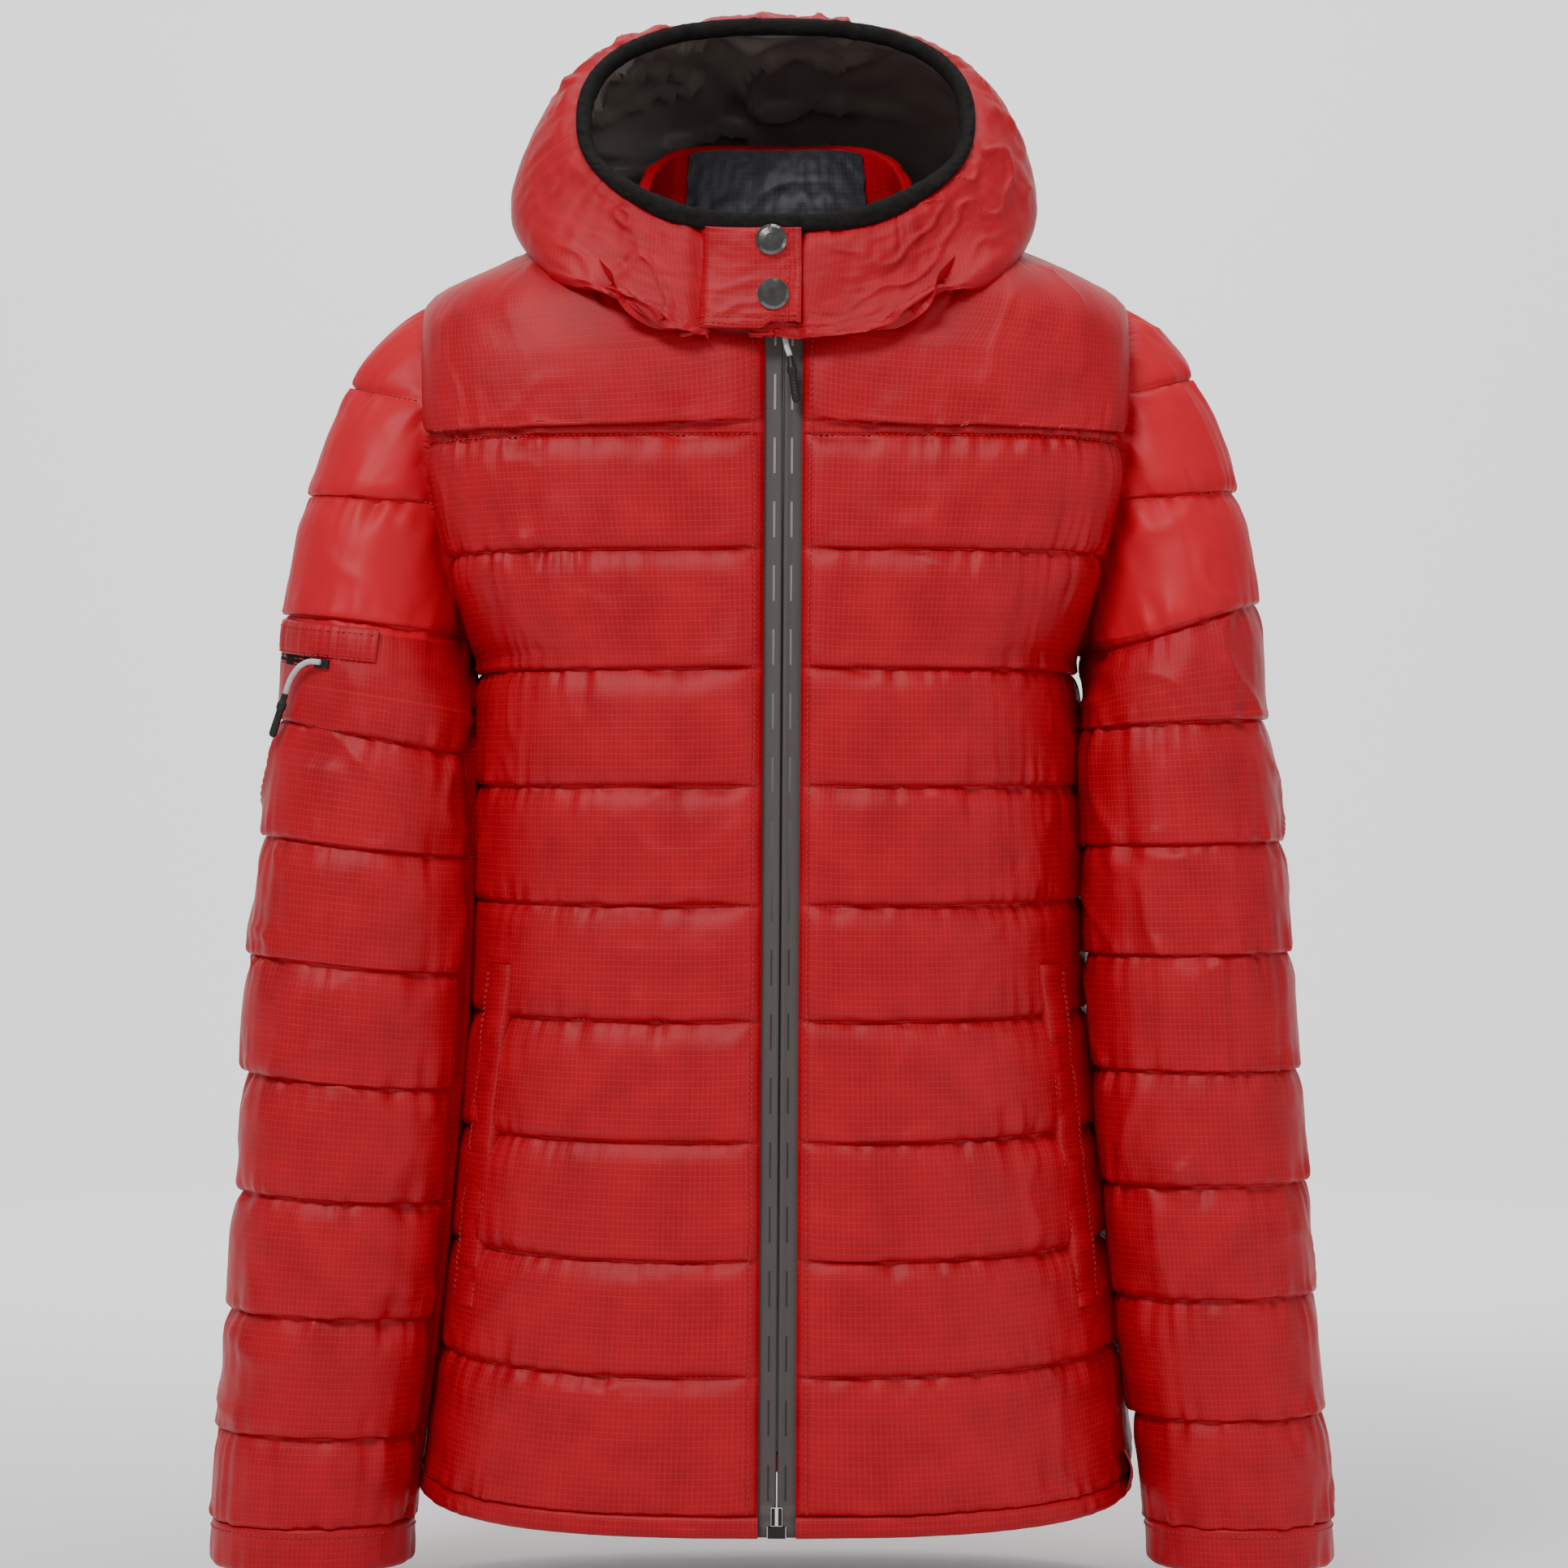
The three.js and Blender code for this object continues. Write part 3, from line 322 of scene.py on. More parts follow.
def relax(start, base, normal, free, low, high, slack, droop, wrap):
    """Lets a grid of cloth settle over its base surface, from start.

    free is 0 where it is sewn down and 1 elsewhere, low and high bound its height along the base's normals,
    and slack is how much longer the cloth is than the base (across, down)."""
    x = start.astype(np.float32).copy()
    base, normal = base.astype(np.float32), normal.astype(np.float32)
    free3 = free.astype(np.float32)[..., None]

    def lengths(a, b):
        return np.linalg.norm(b - a, axis=-1, keepdims=True).astype(np.float32)

    slack_across = np.broadcast_to(slack[0], base.shape[:2]).astype(np.float32)[..., None]
    slack_down = np.broadcast_to(slack[1], base.shape[:2]).astype(np.float32)[..., None]
    ring = closed_ring(base) if wrap else base
    rest_across = lengths(ring[:, :-1], ring[:, 1:]) * (1 + slack_across[:, : ring.shape[1] - 1])
    rest_down = lengths(base[:-1], base[1:]) * (1 + slack_down[:-1])
    mean_slack = 1 + (slack_across[:-1, :-1] + slack_down[:-1, :-1]) / 2
    rest_one = lengths(base[:-1, :-1], base[1:, 1:]) * mean_slack
    rest_two = lengths(base[:-1, 1:], base[1:, :-1]) * mean_slack

    def pull(a, b, rest, wa, wb, strength):
        gap = b - a
        length = np.maximum(np.sqrt((gap * gap).sum(axis=-1, keepdims=True)), 1e-4)
        fix = gap * (strength * (length - rest) / length / np.maximum(wa + wb, 1e-6))
        a += fix * wa
        b -= fix * wb

    last = x.copy()
    for _ in range(SIM_STEPS):
        speed = (x - last) * SPEED_KEPT
        last = x.copy()
        if wrap:
            across = np.roll(x, -1, axis=1) - np.roll(x, 1, axis=1)
        else:
            across = np.empty_like(x)
            across[:, 1:-1] = x[:, 2:] - x[:, :-2]
            across[:, 0], across[:, -1] = x[:, 1] - x[:, 0], x[:, -1] - x[:, -2]
        down = np.empty_like(x)
        down[1:-1] = x[2:] - x[:-2]
        down[0], down[-1] = x[1] - x[0], x[-1] - x[-2]
        face = np.cross(across, down)
        face /= np.maximum(np.linalg.norm(face, axis=-1, keepdims=True), 1e-6)
        face *= np.sign((face * normal).sum(axis=-1, keepdims=True))
        push = face * PRESSURE
        push[..., 2] -= droop
        x += (speed + push) * free3
        for _ in range(2):
            for first in (0, 1):
                n = (x.shape[1] - first) // 2 * 2
                pull(x[:, first:first + n:2], x[:, first + 1:first + n:2],
                     rest_across[:, first:first + n - 1:2],
                     free3[:, first:first + n:2], free3[:, first + 1:first + n:2], 1.0)
                if wrap and first == 1:
                    pull(x[:, -1:], x[:, :1], rest_across[:, -1:], free3[:, -1:], free3[:, :1], 1.0)
                m = (x.shape[0] - first) // 2 * 2
                pull(x[first:first + m:2], x[first + 1:first + m:2], rest_down[first:first + m - 1:2],
                     free3[first:first + m:2], free3[first + 1:first + m:2], 1.0)
        for rest, a0, b0 in ((rest_one, (0, 0), (1, 1)), (rest_two, (0, 1), (1, 0))):
            for i in (0, 1):
                for j in (0, 1):
                    rows = slice(i + a0[0], x.shape[0] - 1 + a0[0], 2)
                    columns = slice(j + a0[1], x.shape[1] - 1 + a0[1], 2)
                    rows_b = slice(i + b0[0], x.shape[0] - 1 + b0[0], 2)
                    columns_b = slice(j + b0[1], x.shape[1] - 1 + b0[1], 2)
                    pull(x[rows, columns], x[rows_b, columns_b], rest[i::2, j::2],
                         free3[rows, columns], free3[rows_b, columns_b], SHEAR_GRIP)
        soft = np.zeros_like(x)
        soft[1:-1] += (x[2:] + x[:-2]) / 2 - x[1:-1]
        if wrap:
            soft += (np.roll(x, -1, axis=1) + np.roll(x, 1, axis=1)) / 2 - x
        else:
            soft[:, 1:-1] += (x[:, 2:] + x[:, :-2]) / 2 - x[:, 1:-1]
        x += soft * free3 * BEND
        height = ((x - base) * normal).sum(axis=-1)
        over = np.clip(height, low, high) - height
        x += (over * free)[..., None].astype(np.float32) * normal
    return x.astype(float)


# ---------- meshes ----------
def new_piece(name, vertices, faces, material, uv=None):
    """A smooth-shaded object; uv gives each vertex its place on the flat cloth in millimetres."""
    mesh = bpy.data.meshes.new(name)
    mesh.from_pydata(to_row(vertices).tolist(), [], [list(map(int, f)) for f in faces])
    mesh.polygons.foreach_set("use_smooth", [True] * len(mesh.polygons))
    if uv is not None:
        layer = mesh.uv_layers.new(name="cloth")
        corner = np.zeros(len(mesh.loops), dtype=np.int32)
        mesh.loops.foreach_get("vertex_index", corner)
        layer.data.foreach_set("uv", np.asarray(uv, dtype=np.float32)[corner].ravel())
    mesh.materials.append(material)
    piece = bpy.data.objects.new(name, mesh)
    scene.collection.objects.link(piece)
    return piece


def cloth_uv(points):
    """The flat cloth's coordinates of a grid, in millimetres, from its middle row and column."""
    rows, columns = points.shape[:2]
    return np.stack(np.meshgrid(run_length(points[rows // 2]), run_length(points[:, columns // 2])),
                    axis=-1)


def grid_faces(rows, columns, wrap=False, keep=None, flip=False):
    faces = []
    width = columns if wrap else columns - 1
    for j in range(rows - 1):
        for i in range(width):
            if keep is not None and not keep[j, i]:
                continue
            k = (i + 1) % columns
            face = (j * columns + i, j * columns + k, (j + 1) * columns + k, (j + 1) * columns + i)
            faces.append(face[::-1] if flip else face)
    return faces


def sheet_piece(name, points, normal, material, wrap=False, keep=None, skirt=5.0, uv=None):
    """A cloth surface whose edges turn in by skirt millimetres, so that no gap shows beside them."""
    rows, columns = points.shape[:2]
    across = (np.roll(points, -1, 1) - points)[: rows - 1, : columns - 1]
    facing = (np.cross(across, points[1:, : columns - 1] - points[:-1, : columns - 1])
              * normal[: rows - 1, : columns - 1]).sum()
    faces = grid_faces(rows, columns, wrap, keep, flip=facing > 0)
    vertices = points.reshape(-1, 3)
    uv = cloth_uv(points) if uv is None else uv
    uv = uv.reshape(-1, 2)
    if skirt:
        seen = {}
        for face in faces:
            for a, b in zip(face, face[1:] + face[:1]):
                seen[(a, b)] = seen.get((a, b), 0) + 1
        edge = [(a, b) for a, b in seen if (b, a) not in seen]
        rim = sorted({v for pair in edge for v in pair})
        place = {v: len(vertices) + i for i, v in enumerate(rim)}
        inner = vertices[rim] - normal.reshape(-1, 3)[rim] * skirt
        vertices = np.concatenate([vertices, inner])
        uv = np.concatenate([uv, uv[rim]])
        faces = faces + [(b, a, place[a], place[b]) for a, b in edge]
    return new_piece(name, vertices, faces, material, uv)


ROW_PITCH, CROWDING = 2.6, 0.55


def levels_between(seams):
    """Row levels through every seam, closer together beside the seams; returns them and the seams' rows."""
    levels, rows = [seams[0]], [0]
    for top, bottom in zip(seams, seams[1:]):
        count = max(2, int(round(abs(top - bottom) / ROW_PITCH)))
        share = np.arange(1, count + 1) / count
        share = lerp(share, (1 - np.cos(np.pi * share)) / 2, CROWDING)
        levels += list(lerp(top, bottom, share))
        rows.append(len(levels) - 1)
    return np.array(levels), rows


def puff(levels, rows):
    """0 on the seams and 1 midway between them, for each row."""
    out = np.zeros(len(levels))
    for a, b in zip(rows, rows[1:]):
        share = (levels[a:b + 1] - levels[a]) / (levels[b] - levels[a])
        out[a:b + 1] = np.sqrt(np.clip(4 * share * (1 - share), 0, 1))
    return out


PUCKER_SIZE = 1.1


def puckers(rng, points, seam_rows, reach, size):
    """Fine gathers running away from each seam row, in millimetres of height before scaling."""
    shape = points.shape[:2]
    step = np.linalg.norm(np.diff(points, axis=0), axis=-1)
    place = np.concatenate([np.zeros((1, shape[1])), np.cumsum(step, axis=0)])
    near = np.min([np.abs(place - place[row]) for row in seam_rows], axis=0)
    spread = reach * np.clip(1 + 0.45 * blur_noise(rng, shape, (2, 5)), 0.3, 2.2)
    lines = blur_noise(rng, shape, (9, size)) + 0.8 * blur_noise(rng, shape, (14, 2.4 * size))
    room = np.clip(np.concatenate([step, step[-1:]]) / 1.8, 0.2, 1)
    return lines * np.exp(-near / spread) * np.clip(near / 1.2, 0, 1) * room


def creases(rng, shape, size):
    """Soft ridges with slack cloth between them, about 0 to 1 high."""
    ridge = 1 - np.abs(blur_noise(rng, shape, size)) * 1.3
    patch = smooth(0.5 + 0.6 * blur_noise(rng, shape, (16, 16)))
    return np.clip(ridge, 0, 1) ** 2 * patch


def edge_share(count, wrap):
    """0 on the first and last columns of a grid and 1 a few columns in."""
    if wrap:
        return np.ones(count)
    return smooth(steps_from_end(count) / 6)


def quilt(surface, center, levels, seam_rows, columns, seed, sewn=None, wrap=False, crest=5.0,
          slack=(0.030, 0.030), seam_depth=3.6, droop=0.02, pucker=(0.95, 10.0), crease=1.2,
          crease_size=(5, 8), lifted_edges=0.0):
    """Quilted cloth on surface(columns, levels): returns its settled grid and its base's normals."""
    rng = np.random.default_rng(seed)
    outer = surface(columns, levels)
    normal = out_of(center, outer, grid_normals(outer, wrap))
    depth = seam_depth * (1 - lifted_edges * (1 - edge_share(len(columns), wrap)))
    base = outer - normal * depth[None, :, None]
    free = np.ones(outer.shape[:2])
    free[seam_rows] = 0
    free[-1] = 0
    free[0] = 0
    if sewn is not None:
        free[sewn(outer)] = 0
    height = puff(levels, seam_rows)[:, None] * crest * 0.8
    edge_ease = np.ones(len(columns))
    if not wrap:
        edge_ease = np.clip(steps_from_end(len(columns)) / 5, 0, 1) ** 0.5
        free[:, 0] = 0
        free[:, -1] = 0
    height = height * edge_ease * (free > 0)
    noise = blur_noise(rng, free.shape, (3, 1.6)) * 0.8 + blur_noise(rng, free.shape, (9, 5)) * 0.8
    start = base + normal * (np.maximum(height + noise * (height > 0), 0.0) * free)[..., None]
    loose = 1 + 0.45 * blur_noise(rng, free.shape, (14, 10))
    across = slack[0] * np.clip(loose, 0.2, 2.0)
    high = crest + 0.7 * blur_noise(rng, free.shape, (16, 16))
    settled = relax(start, base, normal, free, 0.0, high, (across, slack[1]), droop, wrap)
    detail = puckers(rng, outer, seam_rows, pucker[1], PUCKER_SIZE) * pucker[0]
    detail += creases(rng, free.shape, crease_size) * crease
    detail += 0.08 * blur_noise(rng, free.shape, (1.2, 1.2))
    settled = settled + normal * (detail * (free > 0) * edge_ease)[..., None]
    return settled, normal


# ---------- materials ----------
SHEEN_ROUGHNESS = 0.35
GRID_LINE, NYLON_THREAD = 0.32, 0.42  # half the width of a ripstop line, and the pitch of the threads


class NodeTree:
    """A new material, and short ways to add nodes to it."""

    def __init__(self, name, roughness, metallic=0.0, sheen=0.0, specular=0.5):
        self.material = bpy.data.materials.new(name)
        self.material.use_nodes = True
        self.nodes, self.links = self.material.node_tree.nodes, self.material.node_tree.links
        self.shader = self.nodes["Principled BSDF"]
        values = {"Roughness": roughness, "Metallic": metallic, "Sheen Weight": sheen,
                  "Sheen Roughness": SHEEN_ROUGHNESS, "Specular IOR Level": specular}
        for socket, value in values.items():
            self.shader.inputs[socket].default_value = value

    def into(self, value, socket):
        self.links.new(value, self.shader.inputs[socket])

    def math(self, operation, *values, clamp=False):
        node = self.nodes.new("ShaderNodeMath")
        node.operation = operation
        node.use_clamp = clamp
        for socket, value in zip(node.inputs, values):
            if isinstance(value, (int, float)):
                socket.default_value = value
            else:
                self.links.new(value, socket)
        return node.outputs[0]

    def wave(self, value, pitch):
        return self.math("SINE", self.math("MULTIPLY", value, 2 * math.pi / pitch))

    def noise(self, place, scale, detail=2.0):
        node = self.nodes.new("ShaderNodeTexNoise")
        node.inputs["Scale"].default_value = scale
        node.inputs["Detail"].default_value = detail
        self.links.new(place, node.inputs["Vector"])
        return node.outputs["Fac"]

    def split(self, place):
        node = self.nodes.new("ShaderNodeSeparateXYZ")
        self.links.new(place, node.inputs[0])
        return node.outputs

    def cloth_place(self):
        """The cloth's own coordinates in millimetres, together and as separate X and Y."""
        node = self.nodes.new("ShaderNodeUVMap")
        node.uv_map = "cloth"
        x, y = self.split(node.outputs[0])[:2]
        return node.outputs[0], x, y

    def object_place(self):
        return self.nodes.new("ShaderNodeTexCoord").outputs["Object"]

    def ramp(self, value, *stops):
        node = self.nodes.new("ShaderNodeValToRGB")
        for element, (position, color) in zip(node.color_ramp.elements, stops):
            element.position = position
            element.color = (*color, 1.0)
        self.links.new(value, node.inputs[0])
        return node.outputs[0]

    def bump(self, height, strength, distance):
        node = self.nodes.new("ShaderNodeBump")
        node.inputs["Strength"].default_value = strength
        node.inputs["Distance"].default_value = distance
        self.links.new(height, node.inputs["Height"])
        self.into(node.outputs[0], "Normal")


def ripstop(name, dark, light, roughness, sheen, specular, cell=(2.6, 3.4), line_strength=0.55,
            line_tone=0.30):
    """Fine plain-woven nylon with a ripstop grid of thicker threads, a gloss and slight unevenness."""
    tree = NodeTree(name, roughness, sheen=sheen, specular=specular)
    place, x, y = tree.cloth_place()
    lines = []
    for value, pitch in ((x, cell[0]), (y, cell[1])):
        near = tree.math("DIVIDE", tree.math("PINGPONG", value, pitch / 2), GRID_LINE)
        lines.append(tree.math("SUBTRACT", 1.0, near, clamp=True))
    grid = tree.math("MAXIMUM", *lines)
    weave = tree.math("MULTIPLY", tree.wave(x, NYLON_THREAD), tree.wave(y, NYLON_THREAD))
    cloud = tree.noise(place, 0.035, 5.0)
    patches = tree.math("MULTIPLY_ADD", cloud, 0.45, 0.26)
    threads = tree.math("MULTIPLY_ADD", weave, 0.05, patches)
    tone = tree.math("MULTIPLY_ADD", grid, line_tone, threads)
    tree.into(tree.ramp(tone, (0.3, dark), (0.75, light)), "Base Color")
    uneven = tree.math("MULTIPLY_ADD", cloud, 0.12, roughness - 0.06)
    tree.into(tree.math("MULTIPLY_ADD", grid, 0.10, uneven), "Roughness")
    height = tree.math("MULTIPLY_ADD", grid, line_strength, tree.math("MULTIPLY", weave, 0.2))
    tree.bump(height, 0.35, 0.00022)
    return tree.material


def woven(name, dark, light, roughness, pitch, rib=0.0, sheen=0.1, specular=0.35):
    """Tape, elastic and cord: threads across and ribs along, in the object's own space."""
    tree = NodeTree(name, roughness, sheen=sheen, specular=specular)
    place = tree.object_place()
    waves = [tree.wave(value, pitch) for value in tree.split(place)]
    weave = tree.math("MULTIPLY", waves[0], waves[2])
    tone = tree.math("MULTIPLY_ADD", weave, 0.15, tree.noise(place, 260.0, 4.0))
    tree.into(tree.ramp(tone, (0.3, dark), (0.7, light)), "Base Color")
    tree.bump(tree.math("ADD", weave, tree.math("MULTIPLY", waves[1], rib)), 0.5, 0.00025)
    return tree.material


def moulded(name, dark, light, roughness):
    """Plastic with a fine moulded grain."""
    tree = NodeTree(name, roughness, specular=0.25)
    grain = tree.noise(tree.object_place(), 1500.0)
    tree.into(tree.ramp(grain, (0.3, dark), (0.7, light)), "Base Color")
    tree.bump(grain, 0.25, 0.0001)
    return tree.material


def nickel(name):
    """Dark plated metal with slight scuffs."""
    tree = NodeTree(name, 0.27, metallic=1.0)
    scuff = tree.noise(tree.object_place(), 260.0, 6.0)
    tree.into(tree.ramp(scuff, (0.35, (0.115, 0.11, 0.105)), (0.7, (0.15, 0.145, 0.14))), "Base Color")
    tree.into(tree.math("MULTIPLY_ADD", scuff, 0.06, 0.15), "Roughness")
    return tree.material


RED_DARK, RED_LIGHT = (0.24, 0.0003, 0.0050), (0.50, 0.0012, 0.0125)
RED = ripstop("red_ripstop", RED_DARK, RED_LIGHT, roughness=0.40, sheen=0.0, specular=0.25)
THREAD = woven("red_thread", (0.46, 0.010, 0.015), (0.60, 0.020, 0.03), 0.6, 0.0006)
LINING = ripstop("lining_satin", (0.15, 0.132, 0.118), (0.27, 0.242, 0.216), roughness=0.30, sheen=0.0,
                 specular=0.9, line_strength=0.0, line_tone=0.0)
FACING = ripstop("facing_ripstop", (0.020, 0.021, 0.028), (0.046, 0.047, 0.058), roughness=0.42, sheen=0.05,
                 cell=(3.0, 3.0), specular=0.3)
ELASTIC = woven("black_elastic", (0.004, 0.003, 0.003), (0.011, 0.009, 0.008), 0.8, 0.0011, rib=0.6,
                sheen=0.0, specular=0.15)
BLACK = moulded("black_plastic", (0.012, 0.011, 0.011), (0.022, 0.020, 0.019), 0.42)
CORD = woven("grey_cord", (0.42, 0.44, 0.44), (0.62, 0.64, 0.64), 0.75, 0.0013, rib=0.4)
NICKEL = nickel("dark_nickel")


SIDE_CENTER = np.array([0.0, 0.0, -60.0])


def strip(name, surface, columns, section, material, seed=1, wrap=False, pucker=0.35, center=SIDE_CENTER):
    """A band of cloth along surface(columns, heights); section lists its (height, distance outwards)."""
    rng = np.random.default_rng(seed)
    heights = np.array([h for h, _ in section])
    outs = np.array([o for _, o in section])
    low, high = surface(columns, heights - 1.0), surface(columns, heights + 1.0)
    middle = surface(columns, heights)
    across = np.roll(middle, -1, 1) - np.roll(middle, 1, 1) if wrap else np.gradient(middle, axis=1)
    normal = np.cross(across, high - low)
    normal = out_of(center, middle, normal / np.linalg.norm(normal, axis=-1, keepdims=True))
    lines = blur_noise(rng, middle.shape[:2], (6, 1.3))
    ease = np.sin(np.pi * np.linspace(0, 1, len(section)))[:, None]
    points = middle + normal * (outs[:, None] + lines * ease * pucker)[..., None]
    piece = sheet_piece(name, points, normal, material, wrap=wrap, skirt=0)
    return piece, points, normal


def round_section(top, bottom, out, inner, steps=7):
    """The section of a turned hem: down the outside, round the edge and up the inside."""
    height = (out - inner) / 2
    rows = [(top, inner * 0.5), (top - 0.8, out * 0.35), (top - 2.4, out * 0.9)]
    rows += [(h, out) for h in np.linspace(top - 4, bottom + height, steps)]
    for angle in np.linspace(0, math.pi, 9)[1:-1]:
        rows.append((bottom + height - height * math.sin(angle),
                     (out + inner) / 2 + height * math.cos(angle)))
    rows += [(h, inner) for h in np.linspace(bottom + height, top - 1, 4)]
    return rows


def tube(name, path, radii, material, sides, flatness=1.0):
    """A round or oval tube along a path of torso points, with its own radius at each point."""
    path = np.asarray(path, dtype=float)
    radii = np.broadcast_to(np.asarray(radii, dtype=float), len(path))
    tangent = np.gradient(path, axis=0)
    tangent /= np.linalg.norm(tangent, axis=1, keepdims=True)
    side = np.cross(tangent[0], [0.13, 0.99, 0.05])
    vertices = []
    angle = np.linspace(0, 2 * np.pi, sides, endpoint=False)
    for point, way, radius in zip(path, tangent, radii):
        side = side - way * (side @ way)
        side /= np.linalg.norm(side)
        other = np.cross(way, side)
        vertices.append(point + radius * (np.outer(np.cos(angle), side) + flatness * np.outer(np.sin(angle),
                                                                                              other)))
    vertices = np.concatenate(vertices)
    count = len(path)
    faces = [(j * sides + i, j * sides + (i + 1) % sides, (j + 1) * sides + (i + 1) % sides,
              (j + 1) * sides + i)
             for j in range(count - 1) for i in range(sides)]
    faces += [tuple(range(sides))[::-1], tuple((count - 1) * sides + i for i in range(sides))]
    uv = np.stack([np.tile(angle * radii.max(), count), np.repeat(run_length(path), sides)], axis=1)
    return new_piece(name, vertices, faces, material, uv)


def resample(points, pitch):
    """Points at even steps along a polyline."""
    points = np.asarray(points, dtype=float)
    length = run_length(points)
    where = np.linspace(0, length[-1], max(2, int(round(length[-1] / pitch)) + 1))
    return np.stack([np.interp(where, length, points[:, k]) for k in range(3)], axis=1)


STITCH_PITCH, STITCH_SHARE, STITCH_RADIUS = 3.2, 0.74, 0.33
STITCH_END, STITCH_HEIGHT = 0.14, 0.35


def stitches(name, lines):
    """Rows of small stitches of thread: each line is (points, normals), polylines on the cloth."""
    vertices, faces = [], []
    ring = np.linspace(0, 2 * np.pi, 5, endpoint=False)
    for points, normals in lines:
        path = resample(points, STITCH_PITCH)
        out = resample_values(points, normals, len(path))
        for a, b, n in zip(path[:-1], path[1:], out[:-1]):
            way = b - a
            length = np.linalg.norm(way)
            if length < 1.0 or np.linalg.norm(n) < 0.5:
                continue
            way = way / length
            side = np.cross(way, n)
            side /= max(np.linalg.norm(side), 1e-6)
            up = np.cross(side, way)
            first = len(vertices)
            vertices.append(a)
            for share in (STITCH_END, STITCH_SHARE - STITCH_END):
                middle = a + way * length * share + n * STITCH_HEIGHT
                for angle in ring:
                    spoke = math.cos(angle) * side + math.sin(angle) * up
                    vertices.append(middle + STITCH_RADIUS * spoke)
            vertices.append(a + way * length * STITCH_SHARE)
            for i in range(5):
                k = (i + 1) % 5
                faces.append((first, first + 1 + k, first + 1 + i))
                faces.append((first + 1 + i, first + 1 + k, first + 6 + k, first + 6 + i))
                faces.append((first + 11, first + 6 + i, first + 6 + k))
    return new_piece(name, np.array(vertices), faces, THREAD)


def resample_values(points, values, count):
    points = np.asarray(points, dtype=float)
    length = run_length(points)
    where = np.linspace(0, length[-1], count)
    out = np.stack([np.interp(where, length, np.asarray(values)[:, k]) for k in range(3)], axis=1)
    return out / np.maximum(np.linalg.norm(out, axis=1, keepdims=True), 1e-6)


# ---------- torso ----------
TORSO_SEAMS = [305.0, 193.5, 186.0, 125.3, 62.0, -0.9, -64.2, -125.7, -189.5, -252.3, -313.1, -386.0]
torso_levels, torso_rows = levels_between(TORSO_SEAMS)
YOKE_ROW = torso_rows[2]


def seam_rise(level):
    """How much higher a seam lies at the side than on the centre line."""
    return lerp(-4.0, 16.0, np.clip((125.0 - level) / 511.0, 0, 1))


SIDE_EASE, ARM_EASE = 6.0, 6.5


def eased(points, side, t):
    """The body lies against the sleeves below the armpits."""
    z = points[..., 2]
    out = SIDE_EASE * smooth((ARMHOLE_Z - ARMHOLE_HALF_HEIGHT - z) / 50) * smooth((z + 386) / 130) * t**4
    return points + np.stack([side * out, 0 * out, 0 * out], axis=-1)


def front_surface(side):
    def surface(columns, levels):
        share = columns[None, :]
        z = levels[:, None] + 0 * share
        for _ in range(4):
            start = t_at(inner_x(side, z), z)
            t = lerp(start, 1.0, share)
            z = levels[:, None] + seam_rise(levels)[:, None] * t * t
        return eased(torso(side, -1, t, z), side, t)
    return surface


def back_surface(columns, levels):
    t = np.abs(columns)[None, :] + 0 * levels[:, None]
    z = levels[:, None] + seam_rise(levels)[:, None] * t * t
    side = np.where(columns < 0, -1.0, 1.0)[None, :]
    return eased(torso(side, 1, t, z), side, t)


def split_at_yoke(points, normal):
    """The yoke's and the panel's rows of a grid and its normals."""
    row = YOKE_ROW
    return {"yoke": (points[: row + 1], normal[: row + 1]), "panel": (points[row:], normal[row:])}


FRONT_COLUMNS = np.linspace(0, 1, 96)
BACK_COLUMNS = np.linspace(-1, 1, 181)
front, quilted = {}, []
for side, word, seed in ((-1, "right", 11), (1, "left", 12)):
    grid, normal = quilt(front_surface(side), SIDE_CENTER, torso_levels, torso_rows, FRONT_COLUMNS, seed,
                         lifted_edges=0.45)
    front[side] = (grid, normal)
    for part, (points, out) in split_at_yoke(grid, normal).items():
        piece = sheet_piece(f"front_{part}_{word}_cloth", points, out, RED)
        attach(piece, "root")
        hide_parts(f"front_{part}_{word}")
        quilted.append(piece)
back_grid, back_normal = quilt(back_surface, SIDE_CENTER, torso_levels, torso_rows, BACK_COLUMNS, seed=13,
                               lifted_edges=0.45)
for part, (points, out) in split_at_yoke(back_grid, back_normal).items():
    piece = sheet_piece(f"back_{part}_cloth", points, out, RED)
    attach(piece, "root")
    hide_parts(f"back_{part}")
    quilted.append(piece)

# ---------- sleeves ----------
SLEEVE_SEAMS = {
    -1: [(268, 0), (219, 37), (159, 12), (93, 12), (36, 20.5), (-27, 13), (-91, 12), (-155, 10), (-219, 7),
         (-283, 5), (-348, 3), (CUFF_SEAM_Z, 0)],
    1: [(268, 0), (224, 42), (161, 12), (99, 30), (36, 5), (-30, 2), (-90, 1), (-153, 0), (-214, 1),
        (-275, 1), (-339, 2), (CUFF_SEAM_Z, 0)],
}
SLEEVE_ANGLES = np.linspace(0, 2 * np.pi, 148, endpoint=False)


SLEEVE_SAMPLES = 900


def sleeve_at(side, angles, z):
    """Points of the sleeve's outer surface at heights z, a grid with one column for each angle."""
    shares = np.linspace(0, 1, SLEEVE_SAMPLES)
    path = sleeve(side, angles[None, :], shares[:, None])
    out = np.empty(z.shape + (3,))
    for i in range(len(angles)):
        share = np.interp(-z[:, i], -path[:, i, 2], shares)
        for axis in range(3):
            out[:, i, axis] = np.interp(share, shares, path[:, i, axis])
    return out


